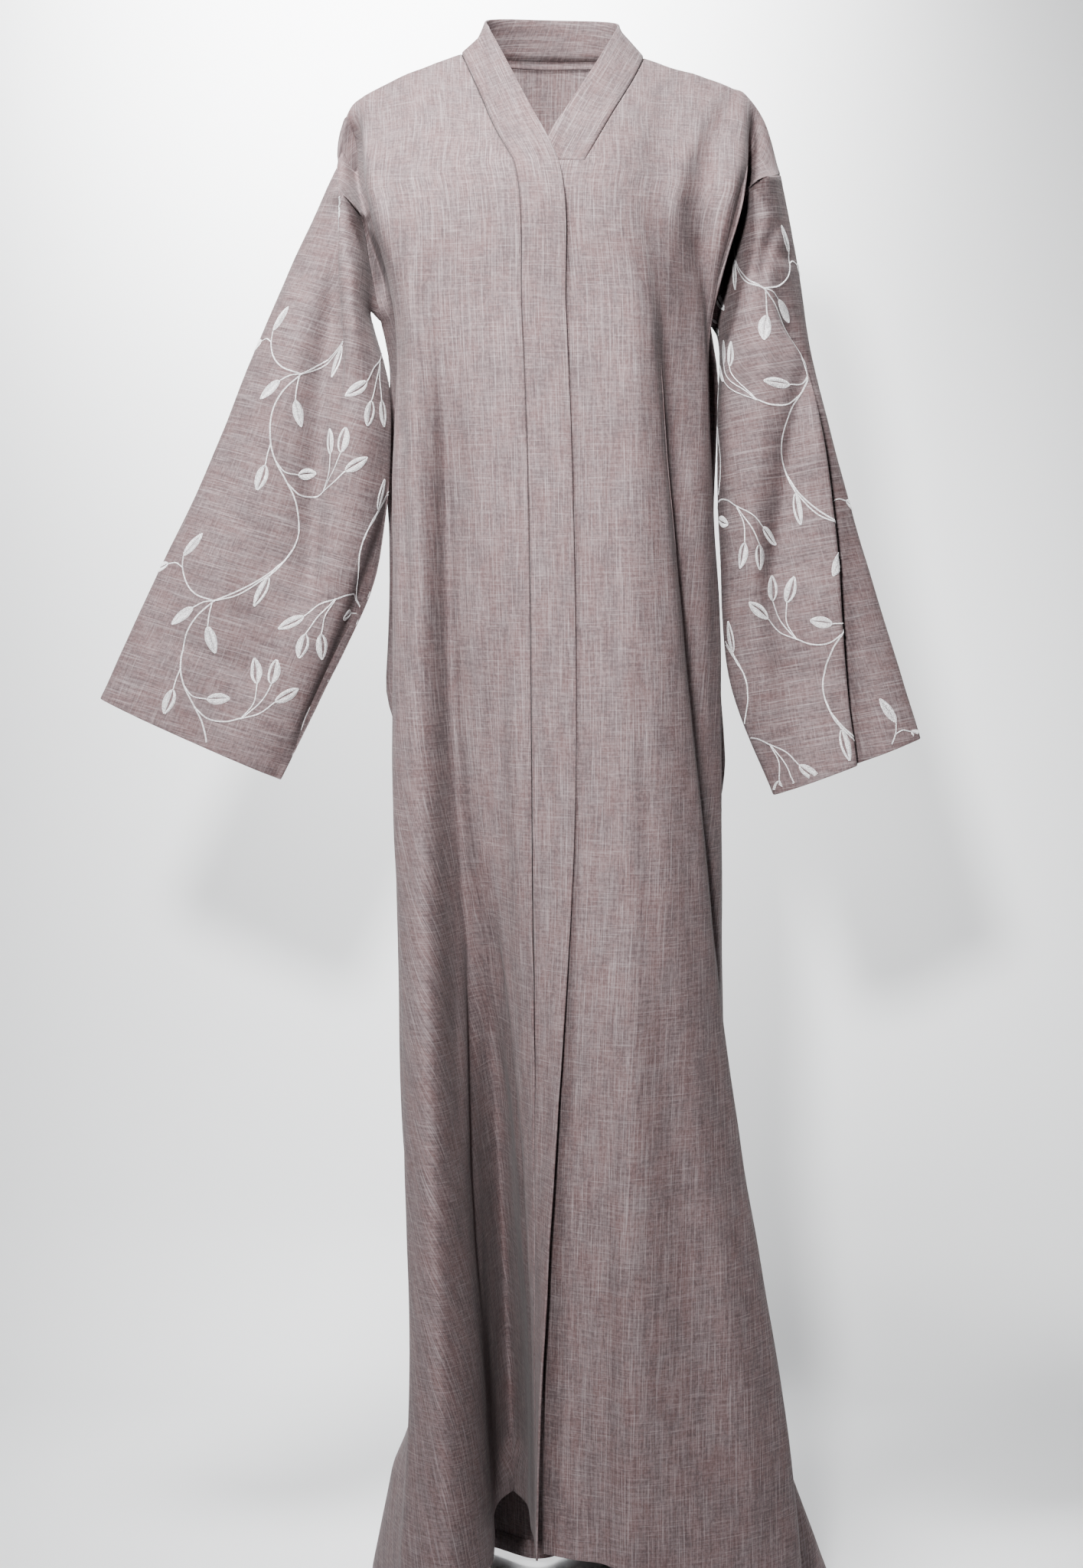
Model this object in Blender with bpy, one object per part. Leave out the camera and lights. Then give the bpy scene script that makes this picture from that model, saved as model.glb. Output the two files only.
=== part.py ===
"""Long open-front abaya cloak, worn: back, two fronts, two long sleeves, and the band round neck and front.

Frame: metres, +Z up, the front faces -Y, the wearer's right side is at -X. The origin lies between the
shoulders, at the height where the neck starts. Every piece of cloth is a grid of points that follows the
lines of its folds. A second layer one wall behind the first closes it, and pieces that are sewn together
share the points of their seam, drawn back by half the seam's gap on either side.
"""

from collections import namedtuple

import bmesh
import bpy
import numpy as np
from mathutils import Vector

# Driving dimensions
CLOTH = 0.0018  # wall
SEAM_GAP = 0.0004  # between two pieces that are sewn together
LEVELS = {  # distance below the shoulders, and the rows of mesh down to the next level
    "shoulder": (0.000, 6),
    "chest": (0.120, 6),
    "underarm": (0.250, 3),
    "waist": (0.420, 4),
    "hip": (0.700, 4),
    "knee": (1.020, 4),
    "ankle": (1.350, 4),
    "hem": (1.450, 0),
}
FRONT_COLUMNS = 2  # of mesh, between two fold lines of a front
BACK_COLUMNS = 5  # between two fold lines of the back, beside the neck
NECK_COLUMNS = 4  # between two fold lines of the back, under the neck
BAND_COLUMNS = 2
SLEEVE_ROWS = (3, 4, 5, 4, 4)  # of mesh, from each section of a sleeve to the next
SLEEVE_FALL = (0.0, 0.075, 0.19, 0.34, 0.45, 0.56)  # distance of each section from the armhole
NECK_EASE = 10  # columns over which a front is drawn to its neckline
ARMHOLE_EASE = 5  # and a panel to its armhole
SHOULDER_EASE = 4  # rows over which the back is drawn to the shoulders
FRONT_STEPS = 6  # of an armhole's table that run down its front
LINEN = (0.33, 0.27, 0.27)  # mauve grey

# A row for each line down the cloth, from the front edge outwards. Points are (x, y, z), or (x, y) where
# the level gives the height.
Line = namedtuple("Line", "name shoulder chest underarm waist hip knee ankle hem")
FRONT_RIGHT = (
    Line("band seam", (-0.084, 0.000, 0.005), (-0.032, -0.122, -0.111), (-0.0245, -0.134),
         (-0.0185, -0.137), (-0.016, -0.137), (-0.0133, -0.125), (-0.012, -0.134), (-0.0125, -0.138, -1.432)),
    Line("pleat, inner wall", (-0.096, 0.001, 0.001), (-0.055, -0.117, -0.113), (-0.049, -0.129),
         (-0.047, -0.130), (-0.040, -0.120), (-0.029, -0.088), (-0.0155, -0.078), (-0.016, -0.080, -1.432)),
    Line("pleat, inner foot", (-0.108, 0.001, -0.003), (-0.078, -0.110, -0.116), (-0.072, -0.122),
         (-0.070, -0.119), (-0.058, -0.100), (-0.039, -0.036), (-0.022, -0.008), (-0.021, -0.005, -1.431)),
    Line("pleat, floor", (-0.122, 0.002, -0.008), (-0.100, -0.103, -0.120), (-0.090, -0.114),
         (-0.086, -0.108), (-0.072, -0.088), (-0.053, -0.012), (-0.038, 0.042), (-0.036, 0.045, -1.430)),
    Line("pleat, outer foot", (-0.136, 0.002, -0.013), (-0.120, -0.100, -0.124), (-0.104, -0.110),
         (-0.098, -0.103), (-0.086, -0.088), (-0.069, -0.040), (-0.056, -0.020), (-0.054, -0.020, -1.431)),
    Line("pleat, outer wall", (-0.150, 0.002, -0.019), (-0.136, -0.100, -0.128), (-0.117, -0.110),
         (-0.111, -0.107), (-0.100, -0.103), (-0.085, -0.105), (-0.062, -0.125), (-0.055, -0.130, -1.457)),
    Line("round fold", (-0.165, 0.003, -0.026), (-0.152, -0.098, -0.132), (-0.133, -0.104),
         (-0.130, -0.107), (-0.123, -0.112), (-0.112, -0.150), (-0.098, -0.186), (-0.093, -0.192, -1.452)),
    Line("outline", (-0.180, 0.003, -0.034), (-0.171, -0.082, -0.138), (-0.147, -0.072),
         (-0.149, -0.076), (-0.148, -0.080), (-0.138, -0.106), (-0.135, -0.138), (-0.142, -0.150, -1.464)),
    Line("armpit crease", (-0.193, 0.003, -0.046), (-0.161, -0.032, -0.142), (-0.139, -0.042),
         (-0.139, -0.038), (-0.140, -0.030), (-0.131, -0.055), (-0.128, -0.068), (-0.144, -0.078, -1.495)),
    Line("side fold", (-0.2035, 0.004, -0.074), (-0.180, -0.049, -0.145), (-0.150, -0.016),
         (-0.145, 0.000), (-0.150, 0.006), (-0.1465, 0.002), (-0.140, 0.014), (-0.172, 0.025, -1.528)),
    Line("side seam", (-0.2055, 0.004, -0.103), (-0.1985, -0.048, -0.132), (-0.164, 0.004),
         (-0.137, 0.036), (-0.142, 0.046), (-0.141, 0.055), (-0.138, 0.072), (-0.178, 0.095, -1.548)),
)
FRONT_LEFT = (
    Line("lap line", (0.0945, 0.000, 0.002), (0.0345, -0.119, -0.110), (0.037, -0.133),
         (0.040, -0.137), (0.043, -0.147), (0.032, -0.160), (0.0265, -0.170), (0.026, -0.176, -1.432)),
    Line("flat of the chest", (0.106, 0.001, -0.001), (0.052, -0.117, -0.112), (0.058, -0.135),
         (0.060, -0.142), (0.063, -0.153), (0.056, -0.169), (0.051, -0.180), (0.052, -0.184, -1.433)),
    Line("middle ridge", (0.117, 0.001, -0.005), (0.070, -0.113, -0.116), (0.080, -0.131),
         (0.081, -0.139), (0.084, -0.154), (0.082, -0.180), (0.082, -0.200), (0.083, -0.204, -1.436)),
    Line("flare, rise", (0.129, 0.002, -0.009), (0.087, -0.106, -0.120), (0.094, -0.122),
         (0.099, -0.128), (0.114, -0.140), (0.137, -0.160), (0.165, -0.179), (0.172, -0.184, -1.444)),
    Line("flare, edge", (0.142, 0.002, -0.013), (0.101, -0.099, -0.124), (0.104, -0.112),
         (0.1155, -0.111), (0.143, -0.104), (0.181, -0.107), (0.235, -0.130), (0.246, -0.134, -1.464)),
    Line("flare, back", (0.155, 0.002, -0.018), (0.112, -0.096, -0.127), (0.112, -0.104),
         (0.118, -0.094), (0.138, -0.074), (0.166, -0.060), (0.206, -0.062), (0.226, -0.074, -1.484)),
    Line("armpit ridge", (0.168, 0.003, -0.022), (0.126, -0.094, -0.130), (0.142, -0.080),
         (0.150, -0.066), (0.160, -0.045), (0.172, -0.030), (0.202, -0.020), (0.236, -0.028, -1.504)),
    Line("armpit hollow", (0.180, 0.003, -0.027), (0.150, -0.074, -0.132), (0.152, -0.056),
         (0.159, -0.034), (0.172, -0.008), (0.178, 0.004), (0.214, 0.020), (0.276, 0.028, -1.526)),
    Line("armpit edge", (0.193, 0.003, -0.033), (0.187, -0.076, -0.136), (0.158, -0.046),
         (0.152, -0.012), (0.165, 0.014), (0.170, 0.032), (0.208, 0.056), (0.276, 0.075, -1.540)),
    Line("armpit crease", (0.212, 0.004, -0.060), (0.172, -0.034, -0.138), (0.150, -0.022),
         (0.148, 0.010), (0.160, 0.034), (0.168, 0.054), (0.200, 0.084), (0.258, 0.112, -1.550)),
    Line("side seam", (0.2255, 0.004, -0.112), (0.208, -0.050, -0.118), (0.158, 0.004),
         (0.140, 0.040), (0.150, 0.056), (0.156, 0.072), (0.184, 0.112), (0.238, 0.150, -1.556)),
)
UNDERLAP = Line(
    "free edge", None, (-0.003, -0.117, -0.110), (-0.0025, -0.129), (0.000, -0.132), (0.002, -0.137),
    (-0.002, -0.131), (-0.0045, -0.150), (-0.005, -0.158, -1.432))
LAP_EDGE = Line(
    "lapping edge", (-0.058, -0.006, 0.029), (0.008, -0.124, -0.107), (0.016, -0.137), (0.0225, -0.1405),
    (0.025, -0.147), (0.0078, -0.160), (-0.010, -0.176), (-0.0115, -0.180, -1.432))
# The back's lines run from the right side seam to the left one. The fronts and the neck give its top.
BACK = (
    Line("side seam", None, (-0.187, 0.062, -0.170), (-0.164, 0.004),
         (-0.137, 0.036), (-0.142, 0.046), (-0.141, 0.055), (-0.138, 0.072), (-0.178, 0.095, -1.548)),
    Line("armpit crease", None, (-0.164, 0.046, -0.160), (-0.151, 0.034),
         (-0.132, 0.062), (-0.130, 0.078), (-0.128, 0.096), (-0.131, 0.128), (-0.184, 0.165, -1.556)),
    Line("armpit edge", None, (-0.152, 0.086, -0.148), (-0.132, 0.080),
         (-0.119, 0.092), (-0.121, 0.110), (-0.126, 0.148), (-0.134, 0.192), (-0.160, 0.238, -1.562)),
    Line("blade", None, (-0.112, 0.100, -0.126), (-0.100, 0.105),
         (-0.086, 0.106), (-0.092, 0.108), (-0.098, 0.122), (-0.104, 0.148), (-0.118, 0.194, -1.560)),
    Line("fold", None, (-0.070, 0.099, -0.112), (-0.060, 0.110),
         (-0.052, 0.112), (-0.058, 0.128), (-0.062, 0.160), (-0.066, 0.206), (-0.072, 0.252, -1.564)),
    Line("middle", None, (0.002, 0.094, -0.106), (0.000, 0.106),
         (0.000, 0.106), (-0.004, 0.110), (-0.008, 0.130), (-0.010, 0.158), (-0.006, 0.204, -1.562)),
    Line("fold", None, (0.076, 0.099, -0.112), (0.062, 0.110),
         (0.050, 0.115), (0.052, 0.138), (0.058, 0.184), (0.064, 0.238), (0.070, 0.284, -1.566)),
    Line("blade", None, (0.114, 0.100, -0.126), (0.100, 0.105),
         (0.090, 0.107), (0.096, 0.112), (0.106, 0.128), (0.118, 0.158), (0.138, 0.206, -1.562)),
    Line("armpit edge", None, (0.154, 0.086, -0.150), (0.130, 0.080),
         (0.123, 0.094), (0.132, 0.114), (0.146, 0.150), (0.166, 0.192), (0.204, 0.240, -1.564)),
    Line("armpit crease", None, (0.170, 0.046, -0.162), (0.148, 0.034),
         (0.137, 0.066), (0.144, 0.088), (0.152, 0.108), (0.170, 0.142), (0.232, 0.188, -1.561)),
    Line("side seam", None, (0.190, 0.062, -0.175), (0.158, 0.004),
         (0.140, 0.040), (0.150, 0.056), (0.156, 0.072), (0.184, 0.112), (0.238, 0.150, -1.556)),
)

# The neckline, from the shoulder to the chest or round the back, and the band's inner edge beside it
Neck = namedtuple("Neck", "seam edge")
NECK_RIGHT = Neck(
    ((-0.084, 0.000, 0.005), (-0.066, -0.045, -0.038), (-0.0512, -0.085, -0.075), (-0.0386, -0.110, -0.099),
     (-0.032, -0.122, -0.111)),
    ((-0.058, -0.006, 0.029), (-0.0385, -0.051, -0.012), (-0.0185, -0.092, -0.054), (-0.002, -0.116, -0.086),
     (0.008, -0.124, -0.107)))
NECK_LEFT = Neck(
    ((0.0945, 0.000, 0.002), (0.083, -0.035, -0.023), (0.061, -0.080, -0.0625), (0.046, -0.105, -0.090),
     (0.0345, -0.119, -0.110)),
    ((0.0685, -0.006, 0.029), (0.0475, -0.046, -0.009), (0.0225, -0.084, -0.051), (0.003, -0.109, -0.083),
     (-0.003, -0.117, -0.110)))
NECK_BACK = Neck(
    ((-0.084, 0.000, 0.005), (-0.064, 0.048, 0.002), (0.004, 0.072, 0.001), (0.072, 0.048, 0.000),
     (0.0945, 0.000, 0.002)),
    ((-0.058, -0.006, 0.029), (-0.056, 0.034, 0.043), (0.004, 0.058, 0.046), (0.065, 0.034, 0.040),
     (0.0685, -0.006, 0.029)))

# The armholes, closed rings from the top down the front to the underarm and up the back
ARMHOLE_RIGHT = (
    (-0.2055, 0.004, -0.103), (-0.205, -0.014, -0.110), (-0.202, -0.030, -0.120), (-0.1985, -0.048, -0.132),
    (-0.1815, -0.055, -0.152), (-0.173, -0.033, -0.197), (-0.164, 0.004, -0.250), (-0.170, 0.042, -0.222),
    (-0.187, 0.062, -0.170), (-0.200, 0.045, -0.125))
ARMHOLE_LEFT = (
    (0.2255, 0.004, -0.112), (0.223, -0.016, -0.113), (0.218, -0.034, -0.115), (0.208, -0.050, -0.118),
    (0.194, -0.056, -0.131), (0.177, -0.033, -0.192), (0.158, 0.004, -0.250), (0.168, 0.044, -0.230),
    (0.190, 0.062, -0.175), (0.215, 0.042, -0.130))

# A row for each section of a sleeve: its outer and inner ends (x, z), then the lines round it as
# (share of the way from outer to inner end, y).
Section = namedtuple(
    "Section", "outer inner top face hollow edge front turn under back_inner back_middle back_outer")
SLEEVE_RIGHT = (
    Section((-0.234, -0.163), (-0.174, -0.243), (0, 0.002), (0.30, -0.034), (0.60, -0.036), (0.55, -0.052),
            (0.80, -0.060), (0.97, -0.040), (1, 0.000), (0.85, 0.045), (0.50, 0.058), (0.15, 0.040)),
    Section((-0.2866, -0.2815), (-0.1545, -0.325), (0, 0.000), (0.28, -0.038), (0.62, -0.038), (0.70, -0.052),
            (0.84, -0.050), (0.96, -0.030), (1, -0.004), (0.85, 0.036), (0.50, 0.050), (0.15, 0.034)),
    Section((-0.3495, -0.431), (-0.168, -0.490), (0, -0.005), (0.28, -0.040), (0.58, -0.036), (0.76, -0.046),
            (0.88, -0.042), (0.97, -0.026), (1, -0.006), (0.85, 0.026), (0.50, 0.036), (0.15, 0.026)),
    Section((-0.392, -0.521), (-0.2005, -0.570), (0, -0.010), (0.28, -0.040), (0.62, -0.036), (0.78, -0.040),
            (0.89, -0.036), (0.97, -0.024), (1, -0.010), (0.85, 0.010), (0.50, 0.018), (0.15, 0.012)),
    Section((-0.4377, -0.620), (-0.263, -0.698), (0, -0.018), (0.28, -0.040), (0.60, -0.042), (0.76, -0.040),
            (0.88, -0.036), (0.97, -0.028), (1, -0.022), (0.85, 0.000), (0.50, 0.008), (0.15, 0.000)),
)
SLEEVE_LEFT = (
    Section((0.2425, -0.185), (0.169, -0.266), (0, 0.002), (0.15, -0.030), (0.30, -0.046), (0.45, -0.056),
            (0.65, -0.060), (0.88, -0.046), (1, 0.000), (0.85, 0.045), (0.50, 0.058), (0.15, 0.036)),
    Section((0.2605, -0.296), (0.168, -0.345), (0, 0.004), (0.05, -0.014), (0.22, -0.022), (0.12, -0.052),
            (0.40, -0.056), (0.85, -0.044), (1, -0.002), (0.88, 0.044), (0.50, 0.056), (0.12, 0.034)),
    Section((0.3008, -0.442), (0.171, -0.480), (0, 0.000), (0.10, -0.014), (0.28, -0.016), (0.18, -0.046),
            (0.58, -0.036), (0.82, -0.044), (1, -0.006), (0.86, 0.026), (0.50, 0.038), (0.14, 0.026)),
    Section((0.3412, -0.574), (0.180, -0.604), (0, -0.006), (0.17, -0.022), (0.40, -0.018), (0.33, -0.044),
            (0.66, -0.036), (0.84, -0.042), (1, -0.012), (0.86, 0.012), (0.50, 0.022), (0.14, 0.012)),
    Section((0.3663, -0.659), (0.2204, -0.7136), (0, -0.014), (0.22, -0.030), (0.50, -0.026), (0.45, -0.046),
            (0.70, -0.048), (0.88, -0.042), (1, -0.026), (0.85, 0.002), (0.50, 0.008), (0.15, -0.004)),
)

FALL = np.array([fall for fall, rows in LEVELS.values()])
ROWS = [rows for fall, rows in LEVELS.values()]
CHEST_ROW = ROWS[0]
UNDERARM_ROW = ROWS[0] + ROWS[1]


def curve(knots, points, at):
    """Points of a smooth curve through the given ones, each (n, ...) at its knot."""
    knots, points = np.asarray(knots, float), np.asarray(points, float)
    each = (-1,) + (1,) * (points.ndim - 1)
    step = np.diff(knots).reshape(each)
    slope = np.diff(points, axis=0) / step
    share = step[1:] / (step[1:] + step[:-1])
    tangent = np.concatenate([slope[:1], slope[:-1] * share + slope[1:] * (1 - share), slope[-1:]])
    i = np.clip(np.searchsorted(knots, at, side="right") - 1, 0, len(step) - 1)
    t = ((at - knots[i]) / np.diff(knots)[i]).reshape(each)
    return (
        (2 * t**3 - 3 * t**2 + 1) * points[i]
        + (t**3 - 2 * t**2 + t) * step[i] * tangent[i]
        + (3 * t**2 - 2 * t**3) * points[i + 1]
        + (t**3 - t**2) * step[i] * tangent[i + 1]
    )


def places(counts):
    """Where the mesh lines lie, in steps of the table: counts[k] of them from step k to the next."""
    return np.concatenate([[0.0]] + [k + np.arange(1, n + 1) / n for k, n in enumerate(counts)])


def neck_curve(points, steps):
    """Points (steps + 1) along a table of the neckline or of the band's edge."""
    return curve(range(len(points)), points, np.linspace(0, len(points) - 1, steps + 1))


def around(ring):
    """Places of the mesh lines round an armhole, in steps of its table: down the front, then up the back."""
    front_half = np.linspace(0, FRONT_STEPS, UNDERARM_ROW + 1)
    back_half = np.linspace(FRONT_STEPS, len(ring), UNDERARM_ROW + 1)
    return np.concatenate([front_half, back_half[1:]])


def closed_curve(ring):
    """Points (n, ...) of a closed smooth curve through the ring's own, each (n, ...)."""
    ring = np.asarray(ring, float)
    points = curve(range(-2, len(ring) + 3), np.concatenate([ring[-2:], ring, ring[:3]]), around(ring))
    points[-1] = points[0]
    return points


def row_falls():
    """How far below the shoulders each row of a panel lies."""
    return np.interp(places(ROWS[:-1]), range(len(FALL)), FALL)


def line_points(line):
    """A line's points (x, y, z), from the first level that it has, with the level's height where needed."""
    heights = dict(zip(LEVELS, -FALL))
    return [
        point if len(point) == 3 else (*point, heights[level])
        for level, point in zip(LEVELS, line[1:])
        if point
    ]


def panel(lines, columns):
    """A grid of points (row, column, xyz) through the fold lines."""
    stations = np.array(lines).transpose(1, 0, 2)
    rows = curve(FALL, stations, row_falls()).transpose(1, 0, 2)
    return curve(range(len(lines)), rows, places(columns)).transpose(1, 0, 2)


def draw_to(points, edge, inwards):
    """Moves a panel's border column, the first of its columns here, to a seam, and eases its neighbours."""
    shift = edge - points[: len(edge), inwards[0]]
    for k, column in enumerate(inwards):
        points[: len(edge), column] += shift * (1 - k / len(inwards)) ** 2


def front(lines, neck, armhole):
    """A front's grid, from the band or the lap line to the side seam."""
    points = panel([line_points(line) for line in lines], [FRONT_COLUMNS] * (len(lines) - 1))
    last = points.shape[1] - 1
    draw_to(points, neck_curve(neck.seam, CHEST_ROW), range(NECK_EASE))
    draw_to(points, armhole[: UNDERARM_ROW + 1], range(last, last - ARMHOLE_EASE, -1))
    return points


def underlap(left):
    """The left front's grid with the strip beyond its lap line, which starts below the neckband."""
    lap_line, next_column = left[:, :1], left[:, 1:2]
    free_edge = curve(FALL[1:], line_points(UNDERLAP), row_falls()[CHEST_ROW:])[:, None]
    steps = np.arange(FRONT_COLUMNS, 0, -1).reshape(1, -1, 1)
    strip = lap_line + (lap_line - next_column) * steps
    strip[CHEST_ROW:] = lap_line[CHEST_ROW:] + (free_edge - lap_line[CHEST_ROW:]) * steps / FRONT_COLUMNS
    return np.concatenate([strip, left], axis=1)


def back(right, left, armhole_right, armhole_left):
    """The back's grid. Its top and its sides are those of the fronts and the neck."""
    neck = neck_curve(NECK_BACK.seam, 2 * NECK_COLUMNS)
    top = np.concatenate([right[0, ::-1], neck[1:-1], left[0]])
    columns = [BACK_COLUMNS] * 4 + [NECK_COLUMNS] * 2 + [BACK_COLUMNS] * 4
    starts = np.cumsum([0] + columns)
    points = panel([[top[k]] + line_points(line) for k, line in zip(starts, BACK)], columns)
    last = len(top) - 1
    side_right = np.concatenate([armhole_right[: UNDERARM_ROW - 1 : -1], right[UNDERARM_ROW + 1 :, -1]])
    side_left = np.concatenate([armhole_left[: UNDERARM_ROW - 1 : -1], left[UNDERARM_ROW + 1 :, -1]])
    draw_to(points.transpose(1, 0, 2), top, range(SHOULDER_EASE))
    draw_to(points, side_right, range(ARMHOLE_EASE))
    draw_to(points, side_left, range(last, last - ARMHOLE_EASE, -1))
    return points


def sleeve(sections, ring, armhole):
    """The sleeve's grid, closed round. Its first row is the armhole."""
    stations = [np.array(ring)]
    for section in sections:
        outer, inner = np.array(section.outer), np.array(section.inner)
        spots = [outer + (inner - outer) * share for share, y in section[2:]]
        stations.append(np.array([(x, y, z) for (x, z), (share, y) in zip(spots, section[2:])]))
    down = np.interp(places(SLEEVE_ROWS), range(len(SLEEVE_FALL)), SLEEVE_FALL)
    rows = curve(SLEEVE_FALL, np.array(stations), down)
    points = closed_curve(rows.transpose(1, 0, 2)).transpose(1, 0, 2)
    points[0] = armhole
    return points


def band(right, left, back_columns):
    """The band's grid: up the right front, round the neck, and down the left neckline."""
    lap = curve(FALL, line_points(LAP_EDGE), row_falls())
    edge_right = np.concatenate([neck_curve(NECK_RIGHT.edge, CHEST_ROW), lap[CHEST_ROW + 1 :]])
    edge_back = neck_curve(NECK_BACK.edge, 2 * NECK_COLUMNS)
    edge_left = neck_curve(NECK_LEFT.edge, CHEST_ROW)
    edge = np.concatenate([edge_right[::-1], edge_back[1:-1], edge_left])
    seam = np.concatenate([right[::-1, 0], back_columns, left[: CHEST_ROW + 1, 0]])
    share = np.linspace(0, 1, BAND_COLUMNS + 1).reshape(1, -1, 1)
    return seam[:, None] + (edge - seam)[:, None] * share


def outward(points, side, closed=False):
    """The direction out of the cloth at each point, side being 1 or -1 as the grid's hand has it."""
    if closed:
        wide = np.concatenate([points[:, -2:-1], points, points[:, 1:2]], axis=1)
        across = np.gradient(wide, axis=1)[:, 1:-1]
    else:
        across = np.gradient(points, axis=1)
    normals = side * np.cross(across, np.gradient(points, axis=0))
    return normals / np.linalg.norm(normals, axis=2, keepdims=True)


def share_directions(pieces):
    """Gives pieces that meet at a seam one direction there, so that the ends of their walls are parallel."""
    points = np.concatenate([piece.points.reshape(-1, 3) for piece in pieces])
    normals = np.concatenate([piece.normals.reshape(-1, 3) for piece in pieces])
    index = np.unique(np.round(points, 6), axis=0, return_inverse=True)[1].reshape(-1)
    total = np.zeros((index.max() + 1, 3))
    np.add.at(total, index, normals)
    shared = total[index]
    shared /= np.linalg.norm(shared, axis=1, keepdims=True)
    start = 0
    for piece in pieces:
        count = piece.normals[..., 0].size
        piece.normals[:] = shared[start : start + count].reshape(piece.normals.shape)
        start += count


def cloth_mesh(points, normals, absent):
    """A closed wall on a grid of points. absent is (rows, columns) of faces missing from its first corner."""
    rows, columns = points.shape[:2]
    mesh = bmesh.new()
    wall = mesh.verts.layers.float_vector.new("wall")
    bmesh.ops.create_grid(mesh, x_segments=columns - 1, y_segments=rows - 1, size=0.5)
    place = {}
    for vert in mesh.verts:
        column = round((vert.co.x + 0.5) * (columns - 1))
        row = round((0.5 - vert.co.y) * (rows - 1))
        place[vert] = (row, column)
    gone = [
        face for face in mesh.faces
        if max(place[vert][0] for vert in face.verts) <= absent[0]
        and max(place[vert][1] for vert in face.verts) <= absent[1]
    ]
    for vert, spot in place.items():
        vert.co = points[spot]
        vert[wall] = normals[spot]
    bmesh.ops.delete(mesh, geom=gone, context="FACES")
    bmesh.ops.remove_doubles(mesh, verts=mesh.verts[:], dist=1e-6)
    draw_back_edges(mesh)
    bmesh.ops.triangulate(mesh, faces=mesh.faces[:])
    front_side = mesh.verts[:]
    extruded = bmesh.ops.extrude_face_region(mesh, geom=mesh.faces[:])["geom"]
    for vert in front_side:
        vert.co += vert[wall] * CLOTH / 2
    for vert in extruded:
        if isinstance(vert, bmesh.types.BMVert):
            vert.co -= vert[wall] * CLOTH / 2
    bmesh.ops.triangulate(mesh, faces=mesh.faces[:], quad_method="SHORT_EDGE")
    bmesh.ops.recalc_face_normals(mesh, faces=mesh.faces[:])
    return mesh


def draw_back_edges(mesh):
    """Draws the sheet's edges back by half a seam's gap."""
    moves = {}
    for vert in mesh.verts:
        if vert.is_boundary:
            middle = sum((face.calc_center_median() for face in vert.link_faces), Vector())
            inwards = middle / len(vert.link_faces) - vert.co
            moves[vert] = inwards.normalized() * SEAM_GAP / 2
    for vert, move in moves.items():
        vert.co += move


def material(name, colour):
    made = bpy.data.materials.new(name)
    made.use_nodes = True
    shader = made.node_tree.nodes["Principled BSDF"]
    shader.inputs["Base Color"].default_value = (*colour, 1)
    shader.inputs["Roughness"].default_value = 0.9
    shader.inputs["Metallic"].default_value = 0.0
    made.diffuse_color = (*colour, 1)
    return made


class Piece:
    """One piece of cloth: its grid of points, the directions out of it, its colour and its missing corner."""

    def __init__(self, name, points, side, colour, closed=False, absent=(0, 0)):
        self.name = name
        self.points = points
        self.normals = outward(points, side, closed)
        self.colour = colour
        self.absent = absent

    def build(self, collection):
        mesh = cloth_mesh(self.points, self.normals, self.absent)
        data = bpy.data.meshes.new(self.name)
        mesh.to_mesh(data)
        mesh.free()
        data.shade_smooth()
        data.materials.append(material(self.name, self.colour))
        collection.objects.link(bpy.data.objects.new(self.name, data))


def pieces():
    armhole_right = closed_curve(ARMHOLE_RIGHT)
    armhole_left = closed_curve(ARMHOLE_LEFT)
    right = front(FRONT_RIGHT, NECK_RIGHT, armhole_right)
    left = front(FRONT_LEFT, NECK_LEFT, armhole_left)
    rear = back(right, left, armhole_right, armhole_left)
    first = right.shape[1]
    under_neck = rear[0, first : first + 2 * NECK_COLUMNS - 1]
    return [
        Piece("back", rear, 1, LINEN),
        Piece("front_right", right, 1, LINEN),
        Piece("front_left", underlap(left), -1, LINEN, absent=(CHEST_ROW, FRONT_COLUMNS)),
        Piece("sleeve_right", sleeve(SLEEVE_RIGHT, ARMHOLE_RIGHT, armhole_right), -1, LINEN, closed=True),
        Piece("sleeve_left", sleeve(SLEEVE_LEFT, ARMHOLE_LEFT, armhole_left), 1, LINEN, closed=True),
        Piece("neck_and_front_band", band(right, left, under_neck), 1, LINEN),
    ]


def main():
    for thing in list(bpy.data.objects):
        bpy.data.objects.remove(thing)
    collection = bpy.data.collections.new("abaya cloak")
    bpy.context.scene.collection.children.link(collection)
    cut = pieces()
    share_directions(cut)
    for piece in cut:
        piece.build(collection)


main()
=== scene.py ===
# %% [markdown]
# # A worn abaya cloak in slub linen
# An abaya is a long open cloak. This one is cut from six pieces: a back, two fronts, two wide sleeves and
# one band that runs round the neck and down the front edge that laps over the other. A leaf vine in silver
# thread climbs round both sleeves. The cloak hangs as it does from the shoulders, with nobody in it.
# The plain solids of the same six pieces come first: they fix where everything is. Each gets a piece of
# thin cloth in its place, made from the same fold lines but with a finer mesh.

import math
from collections import namedtuple

import bmesh
import bpy
import numpy as np
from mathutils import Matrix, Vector, noise


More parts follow.
